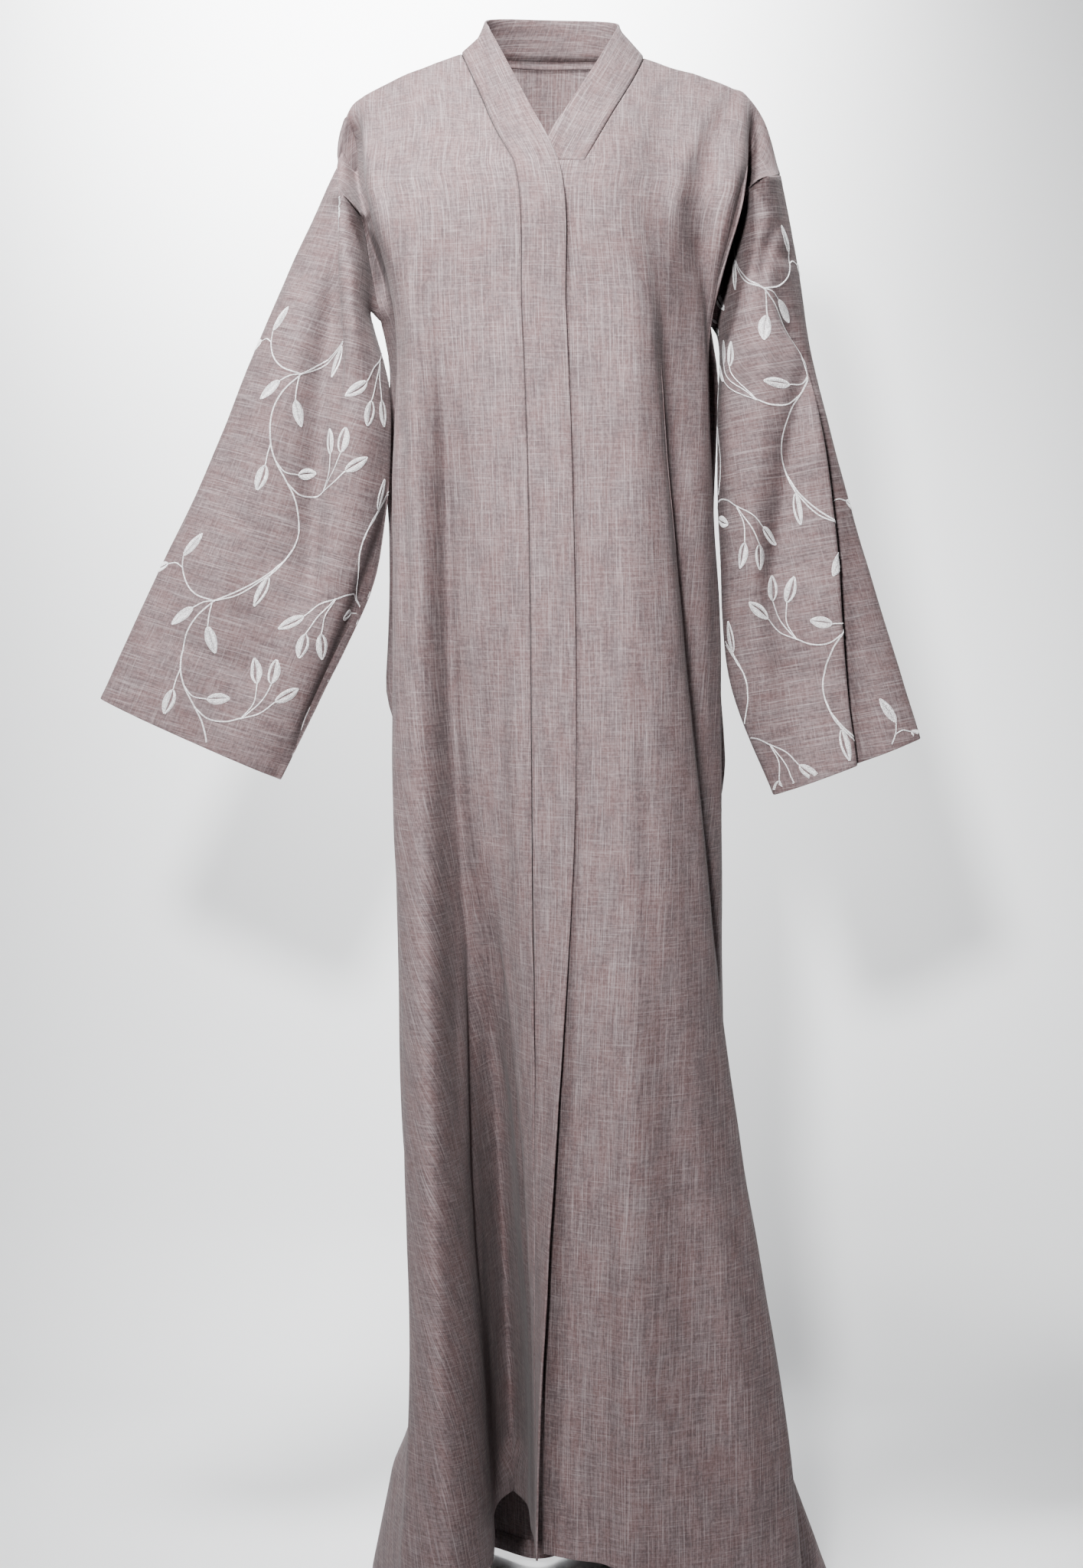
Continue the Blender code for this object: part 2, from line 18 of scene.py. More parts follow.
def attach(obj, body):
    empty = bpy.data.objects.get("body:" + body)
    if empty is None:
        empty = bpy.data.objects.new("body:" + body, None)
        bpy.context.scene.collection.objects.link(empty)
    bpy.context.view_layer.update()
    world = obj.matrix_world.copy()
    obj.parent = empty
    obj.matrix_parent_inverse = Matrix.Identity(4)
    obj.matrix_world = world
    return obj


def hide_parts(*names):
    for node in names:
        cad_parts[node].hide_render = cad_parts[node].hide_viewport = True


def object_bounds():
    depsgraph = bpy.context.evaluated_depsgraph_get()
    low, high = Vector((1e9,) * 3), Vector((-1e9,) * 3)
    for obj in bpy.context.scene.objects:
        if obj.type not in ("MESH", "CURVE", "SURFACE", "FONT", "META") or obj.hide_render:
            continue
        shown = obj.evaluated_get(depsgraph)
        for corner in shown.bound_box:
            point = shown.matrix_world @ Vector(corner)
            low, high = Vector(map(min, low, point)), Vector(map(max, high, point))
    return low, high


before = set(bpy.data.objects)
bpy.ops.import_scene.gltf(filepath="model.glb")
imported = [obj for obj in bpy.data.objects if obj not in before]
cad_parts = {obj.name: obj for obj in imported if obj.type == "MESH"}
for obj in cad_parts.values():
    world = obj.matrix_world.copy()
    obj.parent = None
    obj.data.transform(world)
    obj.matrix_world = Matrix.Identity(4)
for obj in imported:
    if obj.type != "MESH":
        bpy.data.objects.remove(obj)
CAD_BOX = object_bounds()
print("nodes", sorted(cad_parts))
print("box", [[round(value, 3) for value in corner] for corner in CAD_BOX])

# %% [markdown]
# ## Floor, wall and light
# A garment is photographed against a paper sweep: a pale sheet that comes down the wall and curves onto
# the floor, so that no corner shows. It is an open strip of a few faces, with its bend rounded by a bevel.
# The paper is clear from behind, so that the cloak's back can be looked at too.
# The main lamp is a small one beside the camera, so the cloak's shadows lie close to it on the paper, with
# soft edges. A side lamp skims across the folds and gives them their shape, and a top lamp lights the
# shoulders. A lamp behind the cloak brightens the upper paper, and one above it lights the cloak's back.

# %% Build the sweep
FLOOR_Z = CAD_BOX[0][2] - 0.006
WALL_Y = 1.05
SWEEP_HALF = 6.0
SWEEP_TOP = 4.0
SWEEP_BEND = 0.2
BEND_SEGMENTS = 16
PAPER = (0.85, 0.86, 0.87)


def plain_material(name, colour, roughness):
    made = bpy.data.materials.new(name)
    made.use_nodes = True
    shader = made.node_tree.nodes["Principled BSDF"]
    shader.inputs["Base Color"].default_value = (*colour, 1)
    shader.inputs["Roughness"].default_value = roughness
    return made


def one_sided(made):
    """Makes a material clear from behind, so that the cloak's back can be seen through the paper."""
    nodes, links = made.node_tree.nodes, made.node_tree.links
    mix = nodes.new("ShaderNodeMixShader")
    links.new(nodes.new("ShaderNodeNewGeometry").outputs["Backfacing"], mix.inputs[0])
    links.new(nodes["Principled BSDF"].outputs[0], mix.inputs[1])
    links.new(nodes.new("ShaderNodeBsdfTransparent").outputs[0], mix.inputs[2])
    links.new(mix.outputs[0], nodes["Material Output"].inputs["Surface"])
    return made


def sweep():
    mesh = bmesh.new()
    profile = [(-SWEEP_HALF, FLOOR_Z), (WALL_Y, FLOOR_Z), (WALL_Y, SWEEP_TOP)]
    line = [mesh.verts.new((-SWEEP_HALF, y, z)) for y, z in profile]
    for pair in zip(line, line[1:]):
        mesh.edges.new(pair)
    bmesh.ops.bevel(mesh, geom=[line[1]], affect="VERTICES", offset=SWEEP_BEND, segments=BEND_SEGMENTS,
                    profile=0.5, material=-1)
    wide = bmesh.ops.extrude_edge_only(mesh, edges=mesh.edges[:])["geom"]
    moved = [part for part in wide if isinstance(part, bmesh.types.BMVert)]
    bmesh.ops.translate(mesh, verts=moved, vec=(2 * SWEEP_HALF, 0, 0))
    bmesh.ops.recalc_face_normals(mesh, faces=mesh.faces[:])
    if sum(face.normal.z for face in mesh.faces) < 0:
        bmesh.ops.reverse_faces(mesh, faces=mesh.faces[:])
    data = bpy.data.meshes.new("sweep")
    mesh.to_mesh(data)
    mesh.free()
    data.shade_smooth()
    data.materials.append(one_sided(plain_material("paper", PAPER, 0.9)))
    made = bpy.data.objects.new("sweep", data)
    bpy.context.collection.objects.link(made)
    return made


paper = sweep()
print("sweep faces", len(paper.data.polygons))

# %% Light the cloak
def area_light(name, place, aim, size, energy, spread=180):
    lamp = bpy.data.lights.new(name, "AREA")
    lamp.shape = "DISK"
    lamp.size = size
    lamp.energy = energy
    lamp.spread = math.radians(spread)
    made = bpy.data.objects.new(name, lamp)
    made.location = place
    made.rotation_euler = (Vector(aim) - Vector(place)).to_track_quat("-Z", "Y").to_euler()
    bpy.context.collection.objects.link(made)
    return made


area_light("front", (-0.28, -2.7, 0.24), (-0.02, 0, -0.34), 0.22, 34, spread=76)
area_light("side", (-1.90, -1.50, 0.15), (-0.05, 0, -0.60), 0.6, 8, spread=60)
area_light("top", (-0.35, -0.80, 1.05), (-0.10, -0.10, 0.0), 0.4, 11, spread=50)
area_light("wall", (-0.20, 0.45, 0.75), (-0.20, WALL_Y, 0.30), 1.0, 33, spread=70)
area_light("back", (0.70, 0.90, 1.20), (0, 0.10, -0.55), 0.5, 8, spread=60)
world = bpy.data.worlds.new("studio")
world.use_nodes = True
world.node_tree.nodes["Background"].inputs["Color"].default_value = (0.93, 0.96, 1.0, 1)
world.node_tree.nodes["Background"].inputs["Strength"].default_value = 0.04
bpy.context.scene.world = world

# %% [markdown]
# ## The camera
# The camera stands three metres in front at the height of the waist, and looks slightly down. A long lens
# keeps the cloak's proportions true.

# %% Place the camera
CAMERA_PLACE = (-0.006, -3.0, -0.45)
CAMERA_DOWN = math.radians(4.87)
CAMERA_LENS = 69.8

eye = bpy.data.cameras.new("camera")
eye.lens = CAMERA_LENS
eye.clip_end = 30
camera = bpy.data.objects.new("camera", eye)
camera.location = CAMERA_PLACE
camera.rotation_euler = (math.pi / 2 - CAMERA_DOWN, 0, 0)
bpy.context.collection.objects.link(camera)
bpy.context.scene.camera = camera
print("camera distance", round(-CAMERA_PLACE[1], 2))

# %% [markdown]
# ## Shader maths in plain Python
# A cloth's colour is mostly arithmetic on its threads: where each thread lies, how thick it is, how pale.
# Wiring Math nodes by hand hides that. This small class wraps a node's output, so that an expression such
# as `1 - mask * 0.5` adds the nodes for itself.

# %% Wrap a socket
class Value:
    """One number that varies over a surface, as the output socket of a node."""

    def __init__(self, shader, socket):
        self.shader, self.socket = shader, socket

    def math(self, operation, *others):
        return self.shader.node("ShaderNodeMath", {"operation": operation}, dict(enumerate((self, *others))))

    def __add__(self, other): return self.math("ADD", other)
    def __radd__(self, other): return self.math("ADD", other)
    def __sub__(self, other): return self.math("SUBTRACT", other)
    def __rsub__(self, other): return self.math("MULTIPLY_ADD", -1, other)
    def __mul__(self, other): return self.math("MULTIPLY", other)
    def __rmul__(self, other): return self.math("MULTIPLY", other)

    def floor(self): return self.math("FLOOR")
    def least(self, other): return self.math("MINIMUM", other)
    def most(self, other): return self.math("MAXIMUM", other)

    def between(self, low, high):
        """0 below low, 1 above high, smooth between."""
        return self.shader.node("ShaderNodeMapRange", {"interpolation_type": "SMOOTHSTEP"},
                                {"Value": self, "From Min": low, "From Max": high})


class Shader:
    """A new material, with one way to add a node."""

    def __init__(self, name):
        self.material = bpy.data.materials.new(name)
        self.material.use_nodes = True
        self.tree = self.material.node_tree
        self.surface = self.tree.nodes["Principled BSDF"]

    def node(self, kind, settings=None, inputs=None, output=0):
        """Adds a node, sets it, links or fills its sockets, and returns one of its outputs as a Value."""
        made = self.tree.nodes.new(kind)
        for name, value in (settings or {}).items():
            setattr(made, name, value)
        for name, value in (inputs or {}).items():
            self.feed(made.inputs[name], value)
        return Value(self, made.outputs[output])

    def feed(self, socket, value):
        if isinstance(value, Value):
            self.tree.links.new(value.socket, socket)
        else:
            socket.default_value = value

    def mix(self, factor, first, second):
        """A colour between two others."""
        made = self.tree.nodes.new("ShaderNodeMix")
        made.data_type = "RGBA"
        sockets = {socket.name: socket for socket in made.inputs if socket.enabled}
        for name, value in (("Factor", factor), ("A", first), ("B", second)):
            if isinstance(value, tuple):
                value = (*value, 1)
            self.feed(sockets[name], value)
        return Value(self, [socket for socket in made.outputs if socket.enabled][0])


print("shader maths ready")

# %% [markdown]
# ## The cloth: slub linen
# The cloth is woven from yarns of uneven colour. Some swell into slubs, which show as long pale or dark
# streaks, mostly along the warp, with fewer and shorter ones across. Each yarn is one strip of a UV map that
# is in metres of flat cloth, and a noise along the strip says how pale the yarn is there. Every strip starts
# its noise somewhere else, so that the streaks end at different places, as spun yarns do. The map turns and
# folds with each piece, so the weave does too.

# %% Mix the cloth's colour from its yarns
YARN = {  # yarns in a metre, streaks in a metre of a yarn, shift
    "warp": (1250, 26, 3.1),
    "warp slub": (1320, 15, 7.7),
    "warp dark": (1180, 22, 1.9),
    "weft": (1150, 46, 5.3),
    "weft slub": (1280, 24, 9.2),
}
YARN_JUMP, YARN_SLIDE = 17.13, 0.618  # across and along the noise, from one yarn to the next
GROUND = (0.073, 0.052, 0.054)
GROUND_WARM = (0.093, 0.056, 0.056)
PALE_YARN = (0.163, 0.131, 0.133)
PALE_SLUB = (0.34, 0.29, 0.295)
DARK_YARN = (0.041, 0.027, 0.029)


def yarns(shader, weave, name):
    """How pale each yarn of one kind is along its length, near 0.5."""
    density, streaks, shift = YARN[name]
    across, along = ("X", "Y") if name.startswith("warp") else ("Y", "X")
    axes = {axis: shader.node("ShaderNodeSeparateXYZ", {}, {"Vector": weave}, axis) for axis in "XY"}
    yarn = (axes[across] * density).floor()
    spot = shader.node("ShaderNodeCombineXYZ", {}, {"X": yarn * YARN_JUMP + shift,
                                                    "Y": axes[along] * streaks + yarn * YARN_SLIDE})
    return shader.node("ShaderNodeTexNoise", {"noise_dimensions": "2D"},
                       {"Vector": spot, "Scale": 1.0, "Detail": 1.0, "Roughness": 0.6})


def blotches(shader, weave, across, along, detail):
    """A soft unevenness, with so many spots in a metre across and along."""
    placed = shader.node("ShaderNodeMapping", {}, {"Vector": weave, "Scale": (across, along, 1)})
    return shader.node("ShaderNodeTexNoise", {"noise_dimensions": "2D"},
                       {"Vector": placed, "Scale": 1.0, "Detail": detail, "Roughness": 0.6})


def linen():
    shader = Shader("slub linen")
    weave = shader.node("ShaderNodeUVMap", {"uv_map": "weave"})
    warp = yarns(shader, weave, "warp") - 0.5
    weft = yarns(shader, weave, "weft") - 0.5
    slub = yarns(shader, weave, "warp slub").between(0.57, 0.72)
    dark = yarns(shader, weave, "warp dark").between(0.62, 0.74)
    weft_slub = yarns(shader, weave, "weft slub").between(0.62, 0.76)
    heather = blotches(shader, weave, 420, 300, 2.0)
    dye = blotches(shader, weave, 45, 26, 2.0)
    ground = shader.mix((heather * 0.6 + dye * 0.6).between(0.45, 0.75), GROUND, GROUND_WARM)
    fine = warp * 1.1 + weft * 0.9 + (heather - 0.5)
    colour = shader.mix((fine + 0.16).most(0).least(1), ground, PALE_YARN)
    colour = shader.mix((dark * 0.40 + (fine * -1.0 - 0.04).most(0)).least(1), colour, DARK_YARN)
    colour = shader.mix((slub * 0.20 + weft_slub * 0.13).least(1), colour, PALE_SLUB)
    height = warp + weft * 0.7 + slub * 0.5 + weft_slub * 0.5
    bump = shader.node("ShaderNodeBump", {}, {"Height": height, "Distance": 0.0003, "Strength": 0.35})
    shader.feed(shader.surface.inputs["Base Color"], colour)
    shader.feed(shader.surface.inputs["Normal"], bump)
    shader.surface.inputs["Roughness"].default_value = 0.86
    shader.surface.inputs["Specular IOR Level"].default_value = 0.25
    shader.surface.inputs["Sheen Weight"].default_value = 0.03
    shader.surface.inputs["Sheen Roughness"].default_value = 0.5
    return shader.material


LINEN = linen()
print("linen nodes", len(LINEN.node_tree.nodes))

# %% [markdown]
# ## The fold lines
# A worn cloak has no flat pattern that shows, only folds. Each panel is described by the lines that its
# folds follow, from the front edge outwards, with a point of the line at each level of the body. The same
# lines make the plain solids, so the thin cloth lies exactly where they are.

# %% Levels and fold lines
FINE = 5  # mesh lines here, for each one of the plain solids
LEVELS = {  # distance below the shoulders, and the rows of mesh down to the next level
    "shoulder": (0.000, 6),
    "chest": (0.120, 6),
    "underarm": (0.250, 3),
    "waist": (0.420, 4),
    "hip": (0.700, 4),
    "knee": (1.020, 4),
    "ankle": (1.350, 4),
    "hem": (1.450, 0),
}
FRONT_COLUMNS = 2 * FINE  # of mesh, between two fold lines of a front
BACK_COLUMNS = 5 * FINE  # between two fold lines of the back, beside the neck
NECK_COLUMNS = 4 * FINE  # between two fold lines of the back, under the neck
BAND_COLUMNS = 6
SLEEVE_ROWS = [rows * FINE for rows in (3, 4, 5, 4, 4)]  # from each section of a sleeve to the next
SLEEVE_FALL = (0.0, 0.075, 0.19, 0.34, 0.45, 0.56)  # distance of each section from the armhole
NECK_EASE = 10 * FINE  # columns over which a front is drawn to its neckline
ARMHOLE_EASE = 5 * FINE  # and a panel to its armhole
SHOULDER_EASE = 4 * FINE  # rows over which the back is drawn to the shoulders
FRONT_STEPS = 6  # of an armhole's table that run down its front

MM = 1000  # in a metre: the tables below are in millimetres


def mm(*points):
    """Points in metres."""
    return np.array(points) / MM


Line = namedtuple("Line", "name shoulder chest underarm waist hip knee ankle hem")
FRONT_RIGHT = (
    Line("band seam", (-84, 0, 5), (-32, -122, -111), (-24.5, -134), (-18.5, -137), (-16, -137),
         (-13.3, -125), (-12, -134), (-12.5, -138, -1432)),
    Line("pleat, inner wall", (-96, 1, 1), (-55, -117, -113), (-49, -129), (-47, -130), (-40, -120),
         (-29, -88), (-15.5, -78), (-16, -80, -1432)),
    Line("pleat, inner foot", (-108, 1, -3), (-78, -110, -116), (-72, -122), (-70, -119), (-58, -100),
         (-39, -36), (-22, -8), (-21, -5, -1431)),
    Line("pleat, floor", (-122, 2, -8), (-100, -103, -120), (-90, -114), (-86, -108), (-72, -88),
         (-53, -12), (-38, 42), (-36, 45, -1430)),
    Line("pleat, outer foot", (-136, 2, -13), (-120, -100, -124), (-104, -110), (-98, -103), (-86, -88),
         (-69, -40), (-56, -20), (-54, -20, -1431)),
    Line("pleat, outer wall", (-150, 2, -19), (-136, -100, -128), (-117, -110), (-111, -107), (-100, -103),
         (-85, -105), (-62, -125), (-55, -130, -1457)),
    Line("round fold", (-165, 3, -26), (-152, -98, -132), (-133, -104), (-130, -107), (-123, -112),
         (-112, -150), (-98, -186), (-93, -192, -1452)),
    Line("outline", (-180, 3, -34), (-171, -82, -138), (-147, -72), (-149, -76), (-148, -80), (-138, -106),
         (-135, -138), (-142, -150, -1464)),
    Line("armpit crease", (-193, 3, -46), (-161, -32, -142), (-139, -42), (-139, -38), (-140, -30),
         (-131, -55), (-128, -68), (-144, -78, -1495)),
    Line("side fold", (-203.5, 4, -74), (-180, -49, -145), (-150, -16), (-145, 0), (-150, 6), (-146.5, 2),
         (-140, 14), (-172, 25, -1528)),
    Line("side seam", (-205.5, 4, -103), (-198.5, -48, -132), (-164, 4), (-137, 36), (-142, 46), (-141, 55),
         (-138, 72), (-178, 95, -1548)),
)
FRONT_LEFT = (
    Line("lap line", (94.5, 0, 2), (34.5, -119, -110), (37, -133), (40, -137), (43, -147), (32, -160),
         (26.5, -170), (26, -176, -1432)),
    Line("flat of the chest", (106, 1, -1), (52, -117, -112), (58, -135), (60, -142), (63, -153),
         (56, -169), (51, -180), (52, -184, -1433)),
    Line("middle ridge", (117, 1, -5), (70, -113, -116), (80, -131), (81, -139), (84, -154), (82, -180),
         (82, -200), (83, -204, -1436)),
    Line("flare, rise", (129, 2, -9), (87, -106, -120), (94, -122), (99, -128), (114, -140), (137, -160),
         (165, -179), (172, -184, -1444)),
    Line("flare, edge", (142, 2, -13), (101, -99, -124), (104, -112), (115.5, -111), (143, -104),
         (181, -107), (235, -130), (246, -134, -1464)),
    Line("flare, back", (155, 2, -18), (112, -96, -127), (112, -104), (118, -94), (138, -74), (166, -60),
         (206, -62), (226, -74, -1484)),
    Line("armpit ridge", (168, 3, -22), (126, -94, -130), (142, -80), (150, -66), (160, -45), (172, -30),
         (202, -20), (236, -28, -1504)),
    Line("armpit hollow", (180, 3, -27), (150, -74, -132), (152, -56), (159, -34), (172, -8), (178, 4),
         (214, 20), (276, 28, -1526)),
    Line("armpit edge", (193, 3, -33), (187, -76, -136), (158, -46), (152, -12), (165, 14), (170, 32),
         (208, 56), (276, 75, -1540)),
    Line("armpit crease", (212, 4, -60), (172, -34, -138), (150, -22), (148, 10), (160, 34), (168, 54),
         (200, 84), (258, 112, -1550)),
    Line("side seam", (225.5, 4, -112), (208, -50, -118), (158, 4), (140, 40), (150, 56), (156, 72),
         (184, 112), (238, 150, -1556)),
)
UNDERLAP = Line(
    "free edge", None, (-3, -117, -110), (-2.5, -129), (0, -132), (2, -137), (-2, -131), (-4.5, -150),
    (-5, -158, -1432))
LAP_EDGE = Line(
    "lapping edge", (-58, -6, 29), (8, -124, -107), (16, -137), (22.5, -140.5), (25, -147), (7.8, -160),
    (-10, -176), (-11.5, -180, -1432))
# The back's lines run from the right side seam to the left one. The fronts and the neck give its top.
BACK = (
    Line("side seam", None, (-187, 62, -170), *FRONT_RIGHT[-1][3:]),
    Line("armpit crease", None, (-164, 46, -160), (-151, 34), (-132, 62), (-130, 78), (-128, 96),
         (-131, 128), (-184, 165, -1556)),
    Line("armpit edge", None, (-152, 86, -148), (-132, 80), (-119, 92), (-121, 110), (-126, 148),
         (-134, 192), (-160, 238, -1562)),
    Line("blade", None, (-112, 100, -126), (-100, 105), (-86, 106), (-92, 108), (-98, 122), (-104, 148),
         (-118, 194, -1560)),
    Line("fold", None, (-70, 99, -112), (-60, 110), (-52, 112), (-58, 128), (-62, 160), (-66, 206),
         (-72, 252, -1564)),
    Line("middle", None, (2, 94, -106), (0, 106), (0, 106), (-4, 110), (-8, 130), (-10, 158),
         (-6, 204, -1562)),
    Line("fold", None, (76, 99, -112), (62, 110), (50, 115), (52, 138), (58, 184), (64, 238),
         (70, 284, -1566)),
    Line("blade", None, (114, 100, -126), (100, 105), (90, 107), (96, 112), (106, 128), (118, 158),
         (138, 206, -1562)),
    Line("armpit edge", None, (154, 86, -150), (130, 80), (123, 94), (132, 114), (146, 150), (166, 192),
         (204, 240, -1564)),
    Line("armpit crease", None, (170, 46, -162), (148, 34), (137, 66), (144, 88), (152, 108), (170, 142),
         (232, 188, -1561)),
    Line("side seam", None, (190, 62, -175), *FRONT_LEFT[-1][3:]),
)

# The neckline, from the shoulder to the chest or round the back, and the band's inner edge beside it
Neck = namedtuple("Neck", "seam edge")
NECK_RIGHT = Neck(
    mm((-84, 0, 5), (-66, -45, -38), (-51.2, -85, -75), (-38.6, -110, -99), (-32, -122, -111)),
    mm((-58, -6, 29), (-38.5, -51, -12), (-18.5, -92, -54), (-2, -116, -86), (8, -124, -107)))
NECK_LEFT = Neck(
    mm((94.5, 0, 2), (83, -35, -23), (61, -80, -62.5), (46, -105, -90), (34.5, -119, -110)),
    mm((68.5, -6, 29), (47.5, -46, -9), (22.5, -84, -51), (3, -109, -83), (-3, -117, -110)))
NECK_BACK = Neck(
    mm((-84, 0, 5), (-64, 48, 2), (4, 72, 1), (72, 48, 0), (94.5, 0, 2)),
    mm((-58, -6, 29), (-56, 34, 43), (4, 58, 46), (65, 34, 40), (68.5, -6, 29)))

# The armholes, closed rings from the top down the front to the underarm and up the back
ARMHOLE_RIGHT = mm((-205.5, 4, -103), (-205, -14, -110), (-202, -30, -120), (-198.5, -48, -132),
    (-181.5, -55, -152), (-173, -33, -197), (-164, 4, -250), (-170, 42, -222), (-187, 62, -170),
    (-200, 45, -125))
ARMHOLE_LEFT = mm((225.5, 4, -112), (223, -16, -113), (218, -34, -115), (208, -50, -118), (194, -56, -131),
    (177, -33, -192), (158, 4, -250), (168, 44, -230), (190, 62, -175), (215, 42, -130))

# A row for each section of a sleeve: its outer and inner ends (x, z), then the lines round it as
# (per cent of the way from outer to inner end, y).
Section = namedtuple(
    "Section", "outer inner top face hollow edge front turn under back_inner back_middle back_outer")
SLEEVE_RIGHT = (
    Section((-234, -163), (-174, -243), (0, 2), (30, -34), (60, -36), (55, -52), (80, -60), (97, -40),
            (100, 0), (85, 45), (50, 58), (15, 40)),
    Section((-286.6, -281.5), (-154.5, -325), (0, 0), (28, -38), (62, -38), (70, -52), (84, -50), (96, -30),
            (100, -4), (85, 36), (50, 50), (15, 34)),
    Section((-349.5, -431), (-168, -490), (0, -5), (28, -40), (58, -36), (76, -46), (88, -42), (97, -26),
            (100, -6), (85, 26), (50, 36), (15, 26)),
    Section((-392, -521), (-200.5, -570), (0, -10), (28, -40), (62, -36), (78, -40), (89, -36), (97, -24),
            (100, -10), (85, 10), (50, 18), (15, 12)),
    Section((-437.7, -620), (-263, -698), (0, -18), (28, -40), (60, -42), (76, -40), (88, -36), (97, -28),
            (100, -22), (85, 0), (50, 8), (15, 0)),
)
SLEEVE_LEFT = (
    Section((242.5, -185), (169, -266), (0, 2), (15, -30), (30, -46), (45, -56), (65, -60), (88, -46),
            (100, 0), (85, 45), (50, 58), (15, 36)),
    Section((260.5, -296), (168, -345), (0, 4), (5, -14), (22, -22), (12, -52), (40, -56), (85, -44),
            (100, -2), (88, 44), (50, 56), (12, 34)),
    Section((300.8, -442), (171, -480), (0, 0), (10, -14), (28, -16), (18, -46), (58, -36), (82, -44),
            (100, -6), (86, 26), (50, 38), (14, 26)),
    Section((341.2, -574), (180, -604), (0, -6), (17, -22), (40, -18), (33, -44), (66, -36), (84, -42),
            (100, -12), (86, 12), (50, 22), (14, 12)),
    Section((366.3, -659), (220.4, -713.6), (0, -14), (22, -30), (50, -26), (45, -46), (70, -48), (88, -42),
            (100, -26), (85, 2), (50, 8), (15, -4)),
)

FALL = np.array([fall for fall, rows in LEVELS.values()])
ROWS = [rows * FINE for fall, rows in LEVELS.values()]
CHEST_ROW = ROWS[0]
UNDERARM_ROW = ROWS[0] + ROWS[1]
print("rows", sum(ROWS), "lines", len(FRONT_RIGHT), len(FRONT_LEFT), len(BACK))

# %% [markdown]
# ## Curves through the lines
# Cloth bends smoothly, so the points between two levels come from a cubic curve. Its direction at each given
# point is the slope between that point's neighbours, which never overshoots as much as a spline would.

# %% Smooth curves
def curve(knots, points, at):
    """Points of a smooth curve through the given ones, each (n, ...) at its knot."""
    knots, points = np.asarray(knots, float), np.asarray(points, float)
    each = (-1,) + (1,) * (points.ndim - 1)
    step = np.diff(knots).reshape(each)
    slope = np.diff(points, axis=0) / step
    share = step[1:] / (step[1:] + step[:-1])
    tangent = np.concatenate([slope[:1], slope[:-1] * share + slope[1:] * (1 - share), slope[-1:]])
    i = np.clip(np.searchsorted(knots, at, side="right") - 1, 0, len(step) - 1)
    t = ((at - knots[i]) / np.diff(knots)[i]).reshape(each)
    return (
        (2 * t**3 - 3 * t**2 + 1) * points[i]
        + (t**3 - 2 * t**2 + t) * step[i] * tangent[i]
        + (3 * t**2 - 2 * t**3) * points[i + 1]
        + (t**3 - t**2) * step[i] * tangent[i + 1]
    )


def places(counts):
    """Where the mesh lines lie, in steps of the table: counts[k] of them from step k to the next."""
    return np.concatenate([[0.0]] + [k + np.arange(1, n + 1) / n for k, n in enumerate(counts)])


def neck_curve(points, steps):
    """Points (steps + 1) along a table of the neckline or of the band's edge."""
    return curve(range(len(points)), points, np.linspace(0, len(points) - 1, steps + 1))


def around(ring):
    """Places of the mesh lines round an armhole, in steps of its table: down the front, then up the back."""
    front_half = np.linspace(0, FRONT_STEPS, UNDERARM_ROW + 1)
    back_half = np.linspace(FRONT_STEPS, len(ring), UNDERARM_ROW + 1)
    return np.concatenate([front_half, back_half[1:]])


def closed_curve(ring):
    """Points (n, ...) of a closed smooth curve through the ring's own, each (n, ...)."""
    ring = np.asarray(ring, float)
    points = curve(range(-2, len(ring) + 3), np.concatenate([ring[-2:], ring, ring[:3]]), around(ring))
    points[-1] = points[0]
    return points


def row_falls():
    """How far below the shoulders each row of a panel lies."""
    return np.interp(places(ROWS[:-1]), range(len(FALL)), FALL)


print("points round an armhole", len(closed_curve(ARMHOLE_RIGHT)))

# %% [markdown]
# ## The panels
# Every piece is worked out as a grid of points first. A front runs from the band to the side seam, the back
# from side to side, and a sleeve goes all round. Where two pieces are sewn together, both take the same
# points, and the cloth beside the seam is eased towards it.

# %% Grids of points
def line_points(line):
    """A line's points in metres, from its first level on, with the level's height where none is given."""
    heights = dict(zip(LEVELS, -FALL))
    return [
        tuple(part / MM for part in point) + (heights[level],) * (3 - len(point))
        for level, point in zip(LEVELS, line[1:])
        if point
    ]


def panel(lines, columns):
    """A grid of points (row, column, xyz) through the fold lines."""
    stations = np.array(lines).transpose(1, 0, 2)
    rows = curve(FALL, stations, row_falls()).transpose(1, 0, 2)
    return curve(range(len(lines)), rows, places(columns)).transpose(1, 0, 2)


def draw_to(points, edge, inwards):
    """Moves a panel's border column, the first of its columns here, to a seam, and eases its neighbours."""
    shift = edge - points[: len(edge), inwards[0]]
    for k, column in enumerate(inwards):
        points[: len(edge), column] += shift * (1 - k / len(inwards)) ** 2


def front(lines, neck, armhole):
    """A front's grid, from the band or the lap line to the side seam."""
    points = panel([line_points(line) for line in lines], [FRONT_COLUMNS] * (len(lines) - 1))
    last = points.shape[1] - 1
    draw_to(points, neck_curve(neck.seam, CHEST_ROW), range(NECK_EASE))
    draw_to(points, armhole[: UNDERARM_ROW + 1], range(last, last - ARMHOLE_EASE, -1))
    return points


def underlap(left):
    """The left front's grid with the strip beyond its lap line, which starts below the neckband."""
    lap_line, next_column = left[:, :1], left[:, 1:2]
    free_edge = curve(FALL[1:], line_points(UNDERLAP), row_falls()[CHEST_ROW:])[:, None]
    steps = np.arange(FRONT_COLUMNS, 0, -1).reshape(1, -1, 1)
    strip = lap_line + (lap_line - next_column) * steps
    strip[CHEST_ROW:] = lap_line[CHEST_ROW:] + (free_edge - lap_line[CHEST_ROW:]) * steps / FRONT_COLUMNS
    return np.concatenate([strip, left], axis=1)


